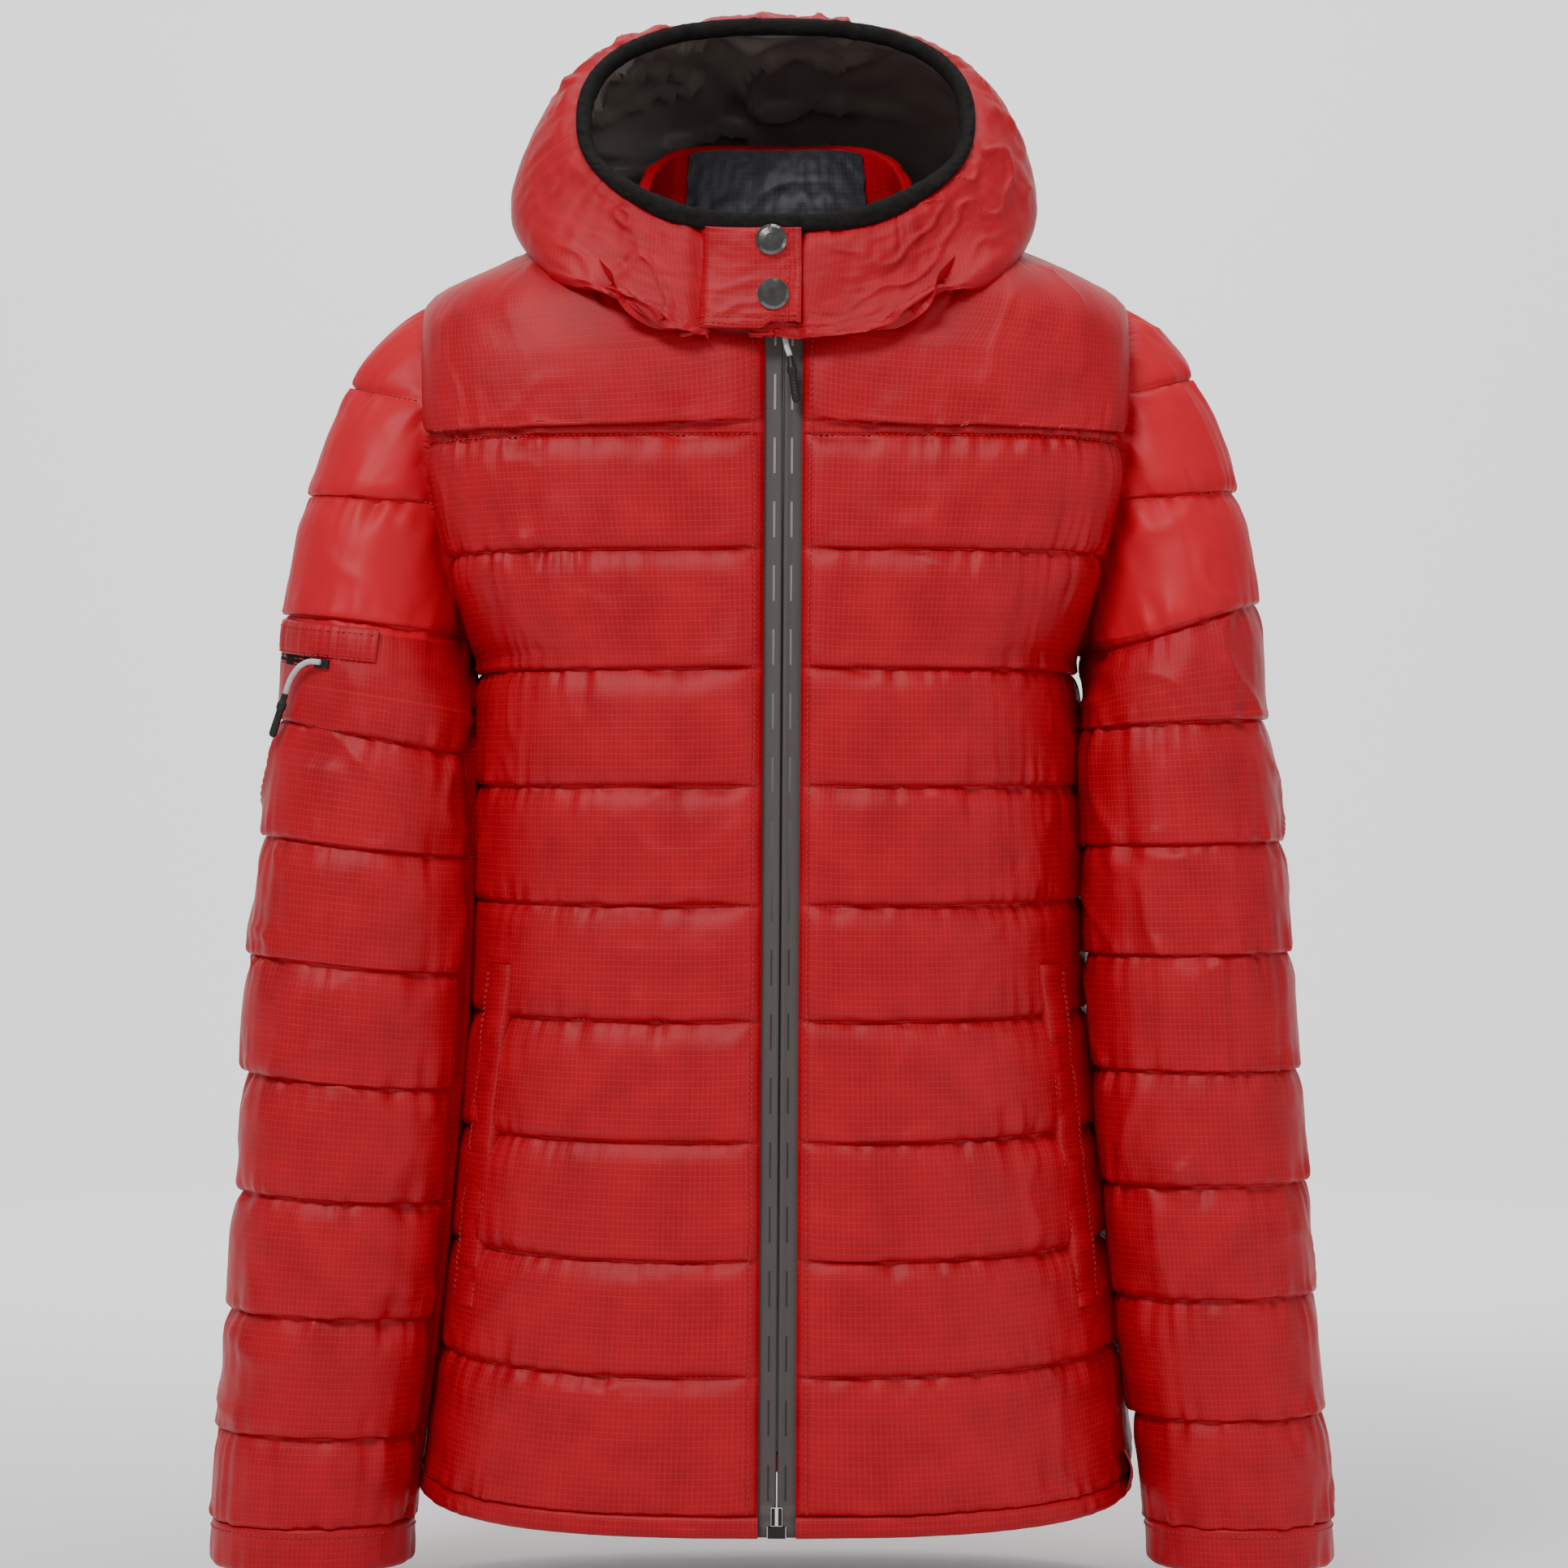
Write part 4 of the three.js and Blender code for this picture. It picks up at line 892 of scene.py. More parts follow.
def sleeve_surface(side):
    seams = np.array(SLEEVE_SEAMS[side], dtype=float)[::-1]

    def surface(columns, levels):
        inward = [(1 - math.cos(angle)) / 2 for angle in columns]
        drop = np.interp(levels, seams[:, 0], seams[:, 1])
        out = sleeve_at(side, columns, levels[:, None] - drop[:, None] * np.array(inward))
        inner = np.array([ARM_EASE * share**2 for share in inward])
        ease = smooth((70 - out[..., 2]) / 60)
        out[..., 0] -= side * inner * ease * smooth((out[..., 2] - CUFF_SEAM_Z) / 220)
        return out
    return surface


# the sleeve pocket's slider, and its own axes: along the slot, inwards and up
ARM_ORIGIN = np.array([-242.85, -135.22, -237.62]) + ORIGIN
ARM_AXES = np.array([[0.83550, -0.53891, -0.10732], [0.52844, 0.84156, -0.11196],
                     [0.15065, 0.03683, 0.98790]])
ARM_PULL_HEIGHTS, ARM_PULL_DEPTHS = (-46, -42, -18, -10, -3, 3), (5.6, 5.6, 3.4, 1.0, -1.4, -2.4)


def pressed_by_pull(grid):
    """The sleeve's cloth lies flatter where the sleeve pocket's pull hangs and travels."""
    along, depth, up = np.moveaxis((grid - ARM_ORIGIN) @ ARM_AXES.T, -1, 0)
    reach = smooth((along + 40) / 12) * smooth((36 - along) / 12)
    reach = reach * smooth((up + 56) / 10) * smooth((7 - up) / 6)
    press = np.maximum(0, np.interp(up, ARM_PULL_HEIGHTS, ARM_PULL_DEPTHS) - depth) * reach
    return grid + press[..., None] * ARM_AXES[1]


ARMPIT = np.array([177.0, -38.0, 72.0])
ARM_BLEND_LENGTH = 62.0
ARM_BLEND_WAY = np.array([0.9, 0.0, -0.44])
ARMHOLE_TUCK = 5.0  # how far the sleeve's edge goes in under the body's
ARMHOLE_NEAR = 0.9


def follow_arm(piece, side):
    """Bakes the piece's placement into its mesh; the arm blend's two ends are worked out but not used."""
    start = ARMPIT * np.array([side, 1, 1])
    end = start + ARM_BLEND_LENGTH * ARM_BLEND_WAY * np.array([side, 1, 1])
    tuple(to_row(start))
    tuple(to_row(end))
    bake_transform(piece)


def at_armhole(grid):
    return np.abs(np.abs(grid[..., 0]) - half_width(grid[..., 2])) < ARMHOLE_NEAR


sleeves = {}
for side, word, seed in ((-1, "right", 21), (1, "left", 22)):
    levels, rows = levels_between([float(z) for z, _ in SLEEVE_SEAMS[side]])
    center = np.array([side * 225.0, -38.0, -100.0])
    grid, normal = quilt(sleeve_surface(side), center, levels, rows, SLEEVE_ANGLES, seed, sewn=at_armhole,
                         wrap=True, crest=4.2, seam_depth=3.0, slack=(0.035, 0.030), droop=0.03,
                         pucker=(1.05, 13.0), crease=2.2, crease_size=(6, 10))
    if side < 0:
        grid = pressed_by_pull(grid)
    sewn = at_armhole(sleeve_surface(side)(SLEEVE_ANGLES, levels))
    grid[sewn] -= np.array([side * ARMHOLE_TUCK, 0, 0])
    # rows above the armhole have no height of their own, so their faces are left out
    step = np.linalg.norm(grid[1:] - grid[:-1], axis=-1)
    keep = (step > 0.05) & (np.roll(step, -1,
                                    axis=1) > 0.05) | (np.maximum(step, np.roll(step, -1, axis=1)) > 0.4)
    piece = sheet_piece(f"sleeve_{word}_cloth", grid, normal, RED, wrap=True, keep=keep)
    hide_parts(f"sleeve_{word}", f"sleeve_head_{word}")
    follow_arm(piece, side)
    quilted.append(piece)
    sleeves[side] = (grid, normal, rows)

# ---------- hood and neck band ----------
CROWN_SEAM = 44.0
CROWN_PLACE = 0.42
HOOD_ROWS, HOOD_COLUMNS = 100, 320
BINDING_WIDTH = 8.0
HOOD_CENTER = np.array([0.0, 0.0, 335.0])
HOOD_BLEND = to_row([0, 20, 312]), to_row([0, 20, 404])
FLAP_HINGE_X, FLAP_EDGE_X, TONGUE_X = -38.0, 12.0, -14.0


def rim_reach(turn):
    """Millimetres down the hood's surface for a share of 1, as it runs at the rim."""
    rim, first = hood_controls(turn)[:2]
    return 3 * np.linalg.norm(first - rim, axis=-1)


def binding_share(turn):
    return BINDING_WIDTH / rim_reach(turn)


def crown_turn(share):
    """The turn at which the hood's centre panel ends, on its positive side, at each share."""
    turns = np.linspace(0.5, 0.3, 60)
    x = hood(turns[None, :], share[:, None])[..., 0]
    return np.array([np.interp(CROWN_SEAM, row, turns) for row in np.maximum.accumulate(x, axis=1)])


def hood_turns(columns, share):
    """Turns in which a fixed column follows the centre panel's seam."""
    seam = crown_turn(share)
    places = np.array([0, 0.25, CROWN_PLACE, 0.5, 1 - CROWN_PLACE, 0.75, 1.0])
    return np.array([np.interp(columns, places, [0, 0.25, t, 0.5, 1 - t, 0.75, 1.0]) for t in seam])


def hood_surface(columns, levels):
    turn = hood_turns(columns, levels)
    start = binding_share(turn)
    return hood(turn, lerp(start, 1.0, levels[:, None]))


hood_columns = np.linspace(0, 1, HOOD_COLUMNS, endpoint=False)
hood_columns[np.argmin(np.abs(hood_columns - CROWN_PLACE))] = CROWN_PLACE
hood_columns[np.argmin(np.abs(hood_columns - 1 + CROWN_PLACE))] = 1 - CROWN_PLACE
hood_levels = lerp(np.linspace(0, 1, HOOD_ROWS), smooth(np.linspace(0, 1, HOOD_ROWS)), 0.5)
CROWN_COLUMNS = [int(np.argmin(np.abs(hood_columns - place))) for place in (CROWN_PLACE, 1 - CROWN_PLACE)]


def with_hood(piece):
    """Bakes the piece's placement into its mesh; the hood blend's two ends are read but not used."""
    tuple(HOOD_BLEND[0])
    tuple(HOOD_BLEND[1])
    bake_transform(piece)


def hood_sewn(grid):
    mask = np.zeros(grid.shape[:2], dtype=bool)
    for column in CROWN_COLUMNS:
        mask[:, column] = True
    return mask


PULL_ROOM, PULL_ROWS, NECK_EDGE_ROWS = 4.0, 9, 7
CHIN_BACK_Y = -60.0  # the chin's side of the neck band lies in front of it
OVER_PULL, BEHIND_FLAP = (-8.0, 17.0), (-54.0, 20.0)
FLAP_RECESS = 4.6  # how far the neck band lies in under its flap


def over_pull(grid, stretch):
    """The neck band's and the flap's bottom rows rise a little over the zip's pull, so that it can lift."""
    share = np.zeros(len(grid))
    share[-PULL_ROWS:] = np.linspace(0, 1, PULL_ROWS)
    inside = smooth((grid[..., 0] - stretch[0]) / 6) * smooth((stretch[1] - grid[..., 0]) / 6)
    lift = PULL_ROOM * share[:, None] * inside * (grid[..., 1] < CHIN_BACK_Y)
    return grid + lift[..., None] * np.array([0, 0, 1.0])


def behind_flap(grid):
    """Where the neck band is open behind its flap."""
    face_x = (grid[..., 0] + np.roll(grid[..., 0], -1, axis=1)) / 2
    return (grid[..., 1] < CHIN_BACK_Y) & (face_x > FLAP_HINGE_X + 2) & (face_x < TONGUE_X)


hood_grid, hood_normal = quilt(hood_surface, HOOD_CENTER, hood_levels, [0, HOOD_ROWS - 1], hood_columns,
                               seed=31,
                               sewn=hood_sewn, wrap=True, crest=5.5, slack=(0.05, 0.03), seam_depth=3.0,
                               pucker=(1.3, 20.0), crease=2.2, crease_size=(8, 5))
hood_normal[-NECK_EDGE_ROWS:] = hood_normal[-NECK_EDGE_ROWS - 1]
at_chin = hood_grid[..., 1] < CHIN_BACK_Y
recess = FLAP_RECESS * smooth((FLAP_EDGE_X + 5 - hood_grid[..., 0]) / 5)
recess = recess * smooth((hood_grid[..., 0] + 48) / 10) * at_chin
hood_grid = hood_grid - hood_normal * recess[..., None]
hood_grid = over_pull(hood_grid, BEHIND_FLAP)
piece = sheet_piece("hood_cloth", hood_grid, hood_normal, RED, wrap=True, keep=~behind_flap(hood_grid))
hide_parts("hood_centre", "hood_side_right", "hood_side_left", "neck_band")
with_hood(piece)
quilted.append(piece)

# ---------- hem and cuffs ----------
HEM_SECTION = round_section(HEM_BAND, 0.0, 1.0, -8.0)
for side, word, seed in ((-1, "right", 41), (1, "left", 42)):
    def hem_surface(columns, heights, side=side):
        start = t_at(inner_x(side, np.array(HEM_Z)), np.array(HEM_Z))
        t = lerp(start, 1.0, columns)[None, :] + 0 * heights[:, None]
        return torso(side, -1, t, hem_z(t) + heights[:, None])
    piece, points, normal = strip(f"hem_band_{word}_cloth", hem_surface, np.linspace(0, 1, 110),
                                  HEM_SECTION, RED, seed)
    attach(piece, "root")
    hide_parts(f"hem_band_{word}")
    quilted.append(piece)


def hem_back_surface(columns, heights):
    t = np.abs(columns)[None, :] + 0 * heights[:, None]
    return torso(np.where(columns < 0, -1.0, 1.0)[None, :], 1, t, hem_z(t) + heights[:, None])


piece, points, normal = strip("hem_band_back_cloth", hem_back_surface, np.linspace(-1, 1, 201), HEM_SECTION,
                              RED, seed=43)
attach(piece, "root")
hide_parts("hem_band_back")
quilted.append(piece)

CUFF_SECTION = round_section(CUFF_SEAM_Z - CUFF_END_Z, 0.0, 0.6, -8.5, steps=10)
cuffs = {}
for side, word, seed in ((-1, "right", 44), (1, "left", 45)):
    def cuff_surface(columns, heights, side=side):
        return arm_point(side, columns[None, :] + 0 * heights[:, None], CUFF_END_Z + heights[:, None])
    cuff_center = np.array([side * 254.0, -40.0, CUFF_END_Z])
    piece, points, normal = strip(f"cuff_{word}_cloth", cuff_surface, SLEEVE_ANGLES, CUFF_SECTION, RED,
                                  seed, wrap=True, pucker=0.4, center=cuff_center)
    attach(piece, f"{word}_arm")
    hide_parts(f"cuff_{word}")
    quilted.append(piece)
    cuffs[side] = (points, normal)

# ---------- linings ----------
SATIN_DEPTH = 12.4
BAG_X, BAG_Z = (62.0, 150.0), (-90.0, -300.0)
HOOD_LINING_ROWS = 76  # of the hood's own rows, from the rim


def satin(name, surface, columns, levels, center, depth, seed, material, wrap=False, fold=1.6, size=(6, 6),
          crumple=0.35, cut=None):
    """A loose lining: the surface moved inwards by depth, with soft folds, open where cut(points) says."""
    rng = np.random.default_rng(seed)
    outer = surface(columns, levels)
    normal = out_of(center, outer, grid_normals(outer, wrap))
    folds = creases(rng, outer.shape[:2], size) * fold
    folds = folds + crumple * blur_noise(rng, outer.shape[:2], (2, 2))
    ease = np.clip(steps_from_end(len(levels)) / 3, 0, 1)[:, None]
    points = outer - normal * (depth + folds * ease)[..., None]
    keep = None if cut is None else ~cut(points)
    piece = sheet_piece(name, points, normal, material, wrap=wrap, keep=keep, skirt=0)
    return piece, points


def flat_size(points):
    """The width and length of a grid of cloth laid flat, and its area, in metres."""
    width = np.linalg.norm(np.diff(points, axis=1), axis=-1).sum(axis=1).max()
    length = np.linalg.norm(np.diff(points, axis=0), axis=-1).sum(axis=0).max()
    across, down = np.diff(points, axis=1)[:-1], np.diff(points, axis=0)[:, :-1]
    area = np.linalg.norm(np.cross(across, down), axis=-1).sum()
    return (width / 1000, length / 1000), area / 1e6


def declare_sheet(piece, points):
    flat, area = flat_size(points)


for side, word, seed in ((-1, "right", 51), (1, "left", 52)):
    def lining_surface(columns, levels, side=side):
        share = columns[None, :]
        z = levels[:, None] + 0 * share
        start = t_at(inner_x(side, z) + 6, z)
        t = lerp(start, 1.0, share)
        return torso(side, -1, t, z + seam_rise(levels)[:, None] * t * t)
    piece, points = satin(f"lining_front_{word}_cloth", lining_surface, np.linspace(0, 1, 46),
                          np.linspace(280, -384, 130), SIDE_CENTER, SATIN_DEPTH, seed, LINING)
    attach(piece, "root")
    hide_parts(f"lining_front_{word}")
    declare_sheet(piece, points)

    def bag_surface(columns, levels, side=side):
        x = columns[None, :] + 0 * levels[:, None]
        return torso(side, -1, t_at(x, levels[:, None] + 0 * x), levels[:, None] + 0 * x)
    piece, points = satin(f"pocket_bag_{word}_cloth", bag_surface, np.linspace(*BAG_X, 30),
                          np.linspace(*BAG_Z, 60), SIDE_CENTER, PADDING + 2.2, seed + 10, LINING, fold=0.5)
    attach(piece, "root")
    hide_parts(f"pocket_bag_{word}")
    declare_sheet(piece, points)

    def arm_surface(columns, levels, side=side):
        return arm_point(side, columns[None, :] + 0 * levels[:, None],
                         levels[:, None] + 0 * columns[None, :])
    piece, points = satin(f"sleeve_lining_{word}_cloth", arm_surface, SLEEVE_ANGLES[::2],
                          np.linspace(60, -418, 100),
                          np.array([side * 235.0, -40.0, -170.0]), PADDING + 2.4, seed + 20, LINING,
                          wrap=True)
    follow_arm(piece, side)
    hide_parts(f"sleeve_lining_{word}")
    declare_sheet(piece, closed_ring(points))


piece, points = satin("lining_back_cloth", back_surface, np.linspace(-1, 1, 90),
                      np.linspace(294, -384, 130),
                      SIDE_CENTER, SATIN_DEPTH, seed=53, material=LINING)
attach(piece, "root")
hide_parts("lining_back")
declare_sheet(piece, points)

piece, points = satin("hood_lining_cloth", hood_surface, hood_columns[::2],
                      hood_levels[:HOOD_LINING_ROWS:2], HOOD_CENTER,
                      HOOD_THICKNESS + 2.4, seed=54, material=LINING, wrap=True, fold=11.0, size=(3, 7),
                      crumple=1.5, cut=behind_flap)
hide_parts("hood_lining")
with_hood(piece)
declare_sheet(piece, closed_ring(points))

# ---------- elastic binding, neck flap, collar ----------
def chin_turn(x, share):
    """The turn near the chin, negative towards the wearer's right, at which the band lies at x."""
    turns = np.linspace(-0.12, 0.12, 240)
    xs = hood(turns[None, :], share[:, None])[..., 0]
    return np.array([np.interp(x, row, turns) for row in xs])


def rim_surface(columns, heights):
    turn = columns[None, :] + 0 * heights[:, None]
    return hood(turn, heights[:, None] / rim_reach(turn))


BINDING_SECTION = round_section(BINDING_WIDTH + 1.5, 0.0, 1.3, -8.2)
rim_start, rim_end = (chin_turn(np.array([x]), np.zeros(1))[0, 0] for x in (FLAP_EDGE_X, FLAP_HINGE_X))
rim_turns = np.linspace(rim_start, 1 + rim_end, 420)
piece, points, normal = strip("hood_binding_cloth", rim_surface, rim_turns, BINDING_SECTION, ELASTIC,
                              seed=61, pucker=0.3, center=HOOD_CENTER)
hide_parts("hood_binding", "chin_binding_right", "chin_binding_left")
with_hood(piece)

FLAP_ROOT_X = FLAP_HINGE_X - 12
FLAP_BLEND = to_row([FLAP_HINGE_X - 4, -110, 270]), to_row([FLAP_HINGE_X + 4, -110, 270])
SNAPS, SNAP_REACH = ((-1.0, 288.0), (-1.0, 259.0)), 8.0


def with_flap(piece):
    """Bakes the piece's placement into its mesh; the flap hinge's two ends are read but not used."""
    tuple(FLAP_BLEND[0])
    tuple(FLAP_BLEND[1])
    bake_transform(piece)


flap_turns = np.linspace(rim_end - 0.006, rim_start, 60)
piece, points, normal = strip("flap_binding_cloth", rim_surface, flap_turns,
                              round_section(BINDING_WIDTH + 1.5, -0.4, 2.0, -7.0), ELASTIC, seed=62,
                              pucker=0.2, center=HOOD_CENTER)
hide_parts("flap_binding")
with_flap(piece)


def flap_surface(columns, levels):
    turn = chin_turn(columns, levels)
    start = binding_share(turn)
    turn = chin_turn(columns, lerp(start[:, 0], 1.0, levels))
    points = hood(turn, lerp(start, 1.0, levels[:, None]))
    normal = out_of(HOOD_CENTER, points, grid_normals(points))
    proud = lerp(-3.6, 4.4, smooth((columns - FLAP_ROOT_X) / 15))
    return points + normal * proud[None, :, None]


FLAP_ROWS = 40
flap_levels = np.linspace(0, 1.05, FLAP_ROWS)
flap_columns = np.linspace(FLAP_ROOT_X, FLAP_EDGE_X + 1.5, 36)
FLAP_HEM_ROW = FLAP_ROWS - 6


def at_snaps(grid):
    return np.any([np.hypot(grid[..., 0] - x, grid[..., 2] - z) < SNAP_REACH for x, z in SNAPS], axis=0)


flap_grid, flap_normal = quilt(flap_surface, HOOD_CENTER, flap_levels, [0, FLAP_HEM_ROW, FLAP_ROWS - 1],
                               flap_columns, seed=63,
                               sewn=at_snaps, crest=2.6, seam_depth=2.2, slack=(0.02, 0.02),
                               pucker=(0.35, 8.0), crease=0.6)
flap_grid = over_pull(flap_grid, OVER_PULL)
piece = sheet_piece("neck_flap_cloth", flap_grid, flap_normal, RED, skirt=3.2)
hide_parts("neck_flap")
with_flap(piece)
quilted.append(piece)
back_of_flap = over_pull(flap_surface(flap_columns, flap_levels), OVER_PULL) - flap_normal * 5.2
piece = sheet_piece("neck_flap_backing", back_of_flap, flap_normal, RED, skirt=0)
with_flap(piece)

COLLAR_HALF_WIDTH, COLLAR_FRONT_Y, COLLAR_BACK_Y = 82.0, -97.0, 63.0
COLLAR_TOPS, COLLAR_BOTTOMS, COLLAR_LEAN, COLLAR_GAP = (294.0, 362.0), (252.0, 302.0), 4.0, 0.16
COLLAR_DROP, COLLAR_TAPER = 60.0, 7.0


def collar_surface(columns, heights):
    """The collar's outer surface: columns are angles from the front, heights run down from its top edge."""
    v = heights[:, None] / COLLAR_DROP + 0 * columns[None, :]
    angle = columns[None, :] + 0 * v
    back = (1 - np.cos(angle)) / 2
    lean = COLLAR_LEAN * (1 - v)
    x = (COLLAR_HALF_WIDTH - COLLAR_TAPER * (1 - v)) * np.sin(angle)
    y = lerp(COLLAR_FRONT_Y, COLLAR_BACK_Y + lean, back)
    z = lerp(lerp(*COLLAR_TOPS, smooth(back)), lerp(*COLLAR_BOTTOMS, smooth(back * 1.3)), v)
    return np.stack([x, y, z], axis=-1)


collar_center = np.array([0.0, -17.0, 310.0])
collar_angles = np.linspace(COLLAR_GAP, 2 * np.pi - COLLAR_GAP, 190)
piece, points, normal = strip("collar_cloth", collar_surface, collar_angles,
                              round_section(58.0, 0.0, 0.6, -6.0, steps=22), RED, seed=64, pucker=0.7,
                              center=collar_center)
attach(piece, "root")
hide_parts("collar")
quilted.append(piece)
facing_angles = np.linspace(np.pi - 0.80, np.pi + 0.80, 80)
piece, points = satin("collar_facing_cloth", collar_surface, facing_angles, np.linspace(3.5, 57, 34),
                      collar_center, 7.8, seed=65, material=FACING, fold=1.1, size=(8, 24))
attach(piece, "root")
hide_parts("collar_facing")
declare_sheet(piece, points)

# ---------- zip ----------
zip_up = (ZIP_TOP - ZIP_BOTTOM) / np.linalg.norm(ZIP_TOP - ZIP_BOTTOM)
zip_in = np.array([0.0, 1.0, 0.0]) - zip_up * zip_up[1]
zip_in /= np.linalg.norm(zip_in)
zip_across = np.cross(zip_in, zip_up)
ZIP_LENGTH = float(np.linalg.norm(ZIP_TOP - ZIP_BOTTOM))


def zip_point(x, y, z):
    """A point in the zip's own coordinates: x across, y into the jacket, z up from its lower end."""
    sideways = ZIP_BOTTOM + np.multiply.outer(x, zip_across)
    return sideways + np.multiply.outer(y, zip_in) + np.multiply.outer(z, zip_up)


TAPE_RIB = 0.7
DASH_START, DASH_PITCH, DASH_LENGTH, DASH_X, DASH_HALF_WIDTH = 5.0, 34.0, 19.0, 4.6, 0.55


def tape_material(name):
    """Dark coated zip tape with plain printed dashes, painted grey at the top and black towards the hem: a
    painted highlight above and painted shade below, over the plain print.
    """
    tree = NodeTree(name, 0.55, specular=0.4)
    place, x, y = tree.cloth_place()
    rib = tree.wave(y, TAPE_RIB)
    tone = tree.math("MULTIPLY_ADD", rib, 0.08, tree.noise(place, 1.6, 4.0))
    tape = tree.ramp(tone, (0.3, (0.048, 0.041, 0.039)), (0.7, (0.078, 0.067, 0.063)))
    # the dashes' colour: plain print, with a painted highlight making it grey at the top and painted shade
    # making it black towards the hem
    print_with_painted_light = tree.ramp(tree.math("DIVIDE", y, 680.0), (0.45, (0.018, 0.016, 0.015)),
                    (0.95, (0.30, 0.30, 0.30)))
    along = tree.math("PINGPONG", tree.math("ADD", y, DASH_START), DASH_PITCH / 2)
    inside = tree.math("LESS_THAN", along, DASH_LENGTH / 2)
    across = tree.math("ABSOLUTE", tree.math("SUBTRACT", x, DASH_X))
    dash = tree.math("MULTIPLY", inside, tree.math("LESS_THAN", across, DASH_HALF_WIDTH))
    mix = tree.nodes.new("ShaderNodeMix")
    mix.data_type = "RGBA"
    tree.links.new(dash, mix.inputs["Factor"])
    tree.links.new(tape, mix.inputs["A"])
    tree.links.new(print_with_painted_light, mix.inputs["B"])
    tree.into(mix.outputs["Result"], "Base Color")
    tree.bump(tree.math("ADD", rib, dash), 0.3, 0.00015)
    return tree.material


TAPE = tape_material("zip_tape_cloth")
TAPE_TOP, PIN_TOP, BOX_TOP = ZIP_LENGTH + 46.0, 16.2, 6.3
TAPE_SECTION = [(0.35, 1.2), (0.30, 0.2), (0.45, -0.5), (0.9, -0.95), (1.6, -1.15), (2.6, -1.05),
                (3.4, -0.75), (4.4, -0.5), (6.0, -0.42), (8.0, -0.40), (9.6, -0.35), (12.5, 0.2)]
for side, word in ((-1, "right"), (1, "left")):
    along = np.concatenate([[0.4, 3.0, BOX_TOP - 0.01, BOX_TOP, 10.0, PIN_TOP - 0.01],
                            np.linspace(PIN_TOP, TAPE_TOP, 330)])
    clear = np.select([along < BOX_TOP, along < PIN_TOP], [5.1, 3.0], 0.0)
    rng = np.random.default_rng(71 + side)
    wave = 0.18 * blur_noise(rng, (1, len(along)), (1, 9))[0]
    x = np.array([p[0] for p in TAPE_SECTION])
    y = np.array([p[1] for p in TAPE_SECTION])
    points = np.stack([zip_point(side * np.maximum(x, edge), y + w, np.full(len(x), z))
                       for z, w, edge in zip(along, wave, clear)])
    out = np.broadcast_to(-zip_in, points.shape)
    uv = np.stack(np.meshgrid(x, along), axis=-1)
    piece = sheet_piece(f"zip_tape_{word}_cloth", points, out, TAPE, skirt=0.8, uv=uv)
    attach(piece, "root")
    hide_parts(f"zip_tape_{word}")


def open_curve(points, count):
    """count points of a Catmull-Rom curve through points."""
    points = np.asarray(points, dtype=float)
    padded = np.concatenate([2 * points[:1] - points[1:2], points, 2 * points[-1:] - points[-2:-1]])
    where = np.linspace(0, len(points) - 1, count)
    i = np.minimum(where.astype(int), len(points) - 2)
    t = (where - i)[:, None]
    return catmull_rom(*(padded[i + k] for k in range(4)), t)


GRIP_PROFILE = [(0, 0.9), (0.5, 1.5), (1.2, 1.75), (4.6, 1.8), (5.4, 2.4), (6.2, 2.65), (8.6, 2.65),
                (9.4, 2.3), (10.2, 1.9), (12, 2.0), (22.4, 2.25), (23.6, 2.1), (24.5, 1.7), (25.0, 0.9)]
GRIP_FLATNESS = 0.83
CORD_RADIUS, CORD_POINTS = 1.5, 26


def pull_pieces(name, route, way):
    """A zip pull: its cord along the route, then its moulded grip in the direction way."""
    cord = tube(f"{name}_cord_soft", open_curve(route, CORD_POINTS), CORD_RADIUS, CORD, sides=16)
    way = np.asarray(way) / np.linalg.norm(way)
    rows = np.array(GRIP_PROFILE)
    fine = np.unique(np.concatenate([rows[:, 0], np.arange(11.5, 22.5, 0.45)]))
    radius = np.interp(fine, rows[:, 0], rows[:, 1])
    ribbed = (fine > 12) & (fine < 21.5)
    radius = radius + np.where(ribbed, 0.16 * np.sin(fine * 2 * np.pi / 1.8), 0)
    path = np.asarray(route[-1]) + np.multiply.outer(fine + 0.1, way)
    grip = tube(f"{name}_grip_moulded", path, radius, BLACK, sides=20, flatness=GRIP_FLATNESS)
    return cord, grip


main_route = [zip_point(*p) for p in ((0, -5.3, ZIP_LENGTH + 1.5), (0.5, -5.9, ZIP_LENGTH - 3),
                                     (1.5, -6.9, ZIP_LENGTH - 8), (3.2, -7.5, ZIP_LENGTH - 13))]
main_way = zip_point(0.15, -0.02, -1.0) - zip_point(0, 0, 0)
cord, grip = pull_pieces("zip_pull", main_route, main_way)
for piece, node in ((cord, "zip_pull_cord"), (grip, "zip_pull_grip")):
    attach(piece, "main_pull")
    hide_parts(node)


def arm_pull_point(*p):
    return ARM_ORIGIN + np.array(p, dtype=float) @ ARM_AXES


arm_route = [arm_pull_point(*p) for p in ((1, -3.9, 0.5), (-6, -4.6, 0), (-13, -3.6, -3.5),
                                          (-19, -1.4, -10),
                                         (-22.5, 0.4, -18))]
arm_way = arm_pull_point(-0.25, 0.08, -1) - ARM_ORIGIN
arm_cord, arm_grip = pull_pieces("arm_pull", arm_route, arm_way)
for piece, node in ((arm_cord, "arm_pull_cord"), (arm_grip, "arm_pull_grip")):
    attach(piece, "arm_pull")
    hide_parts(node)


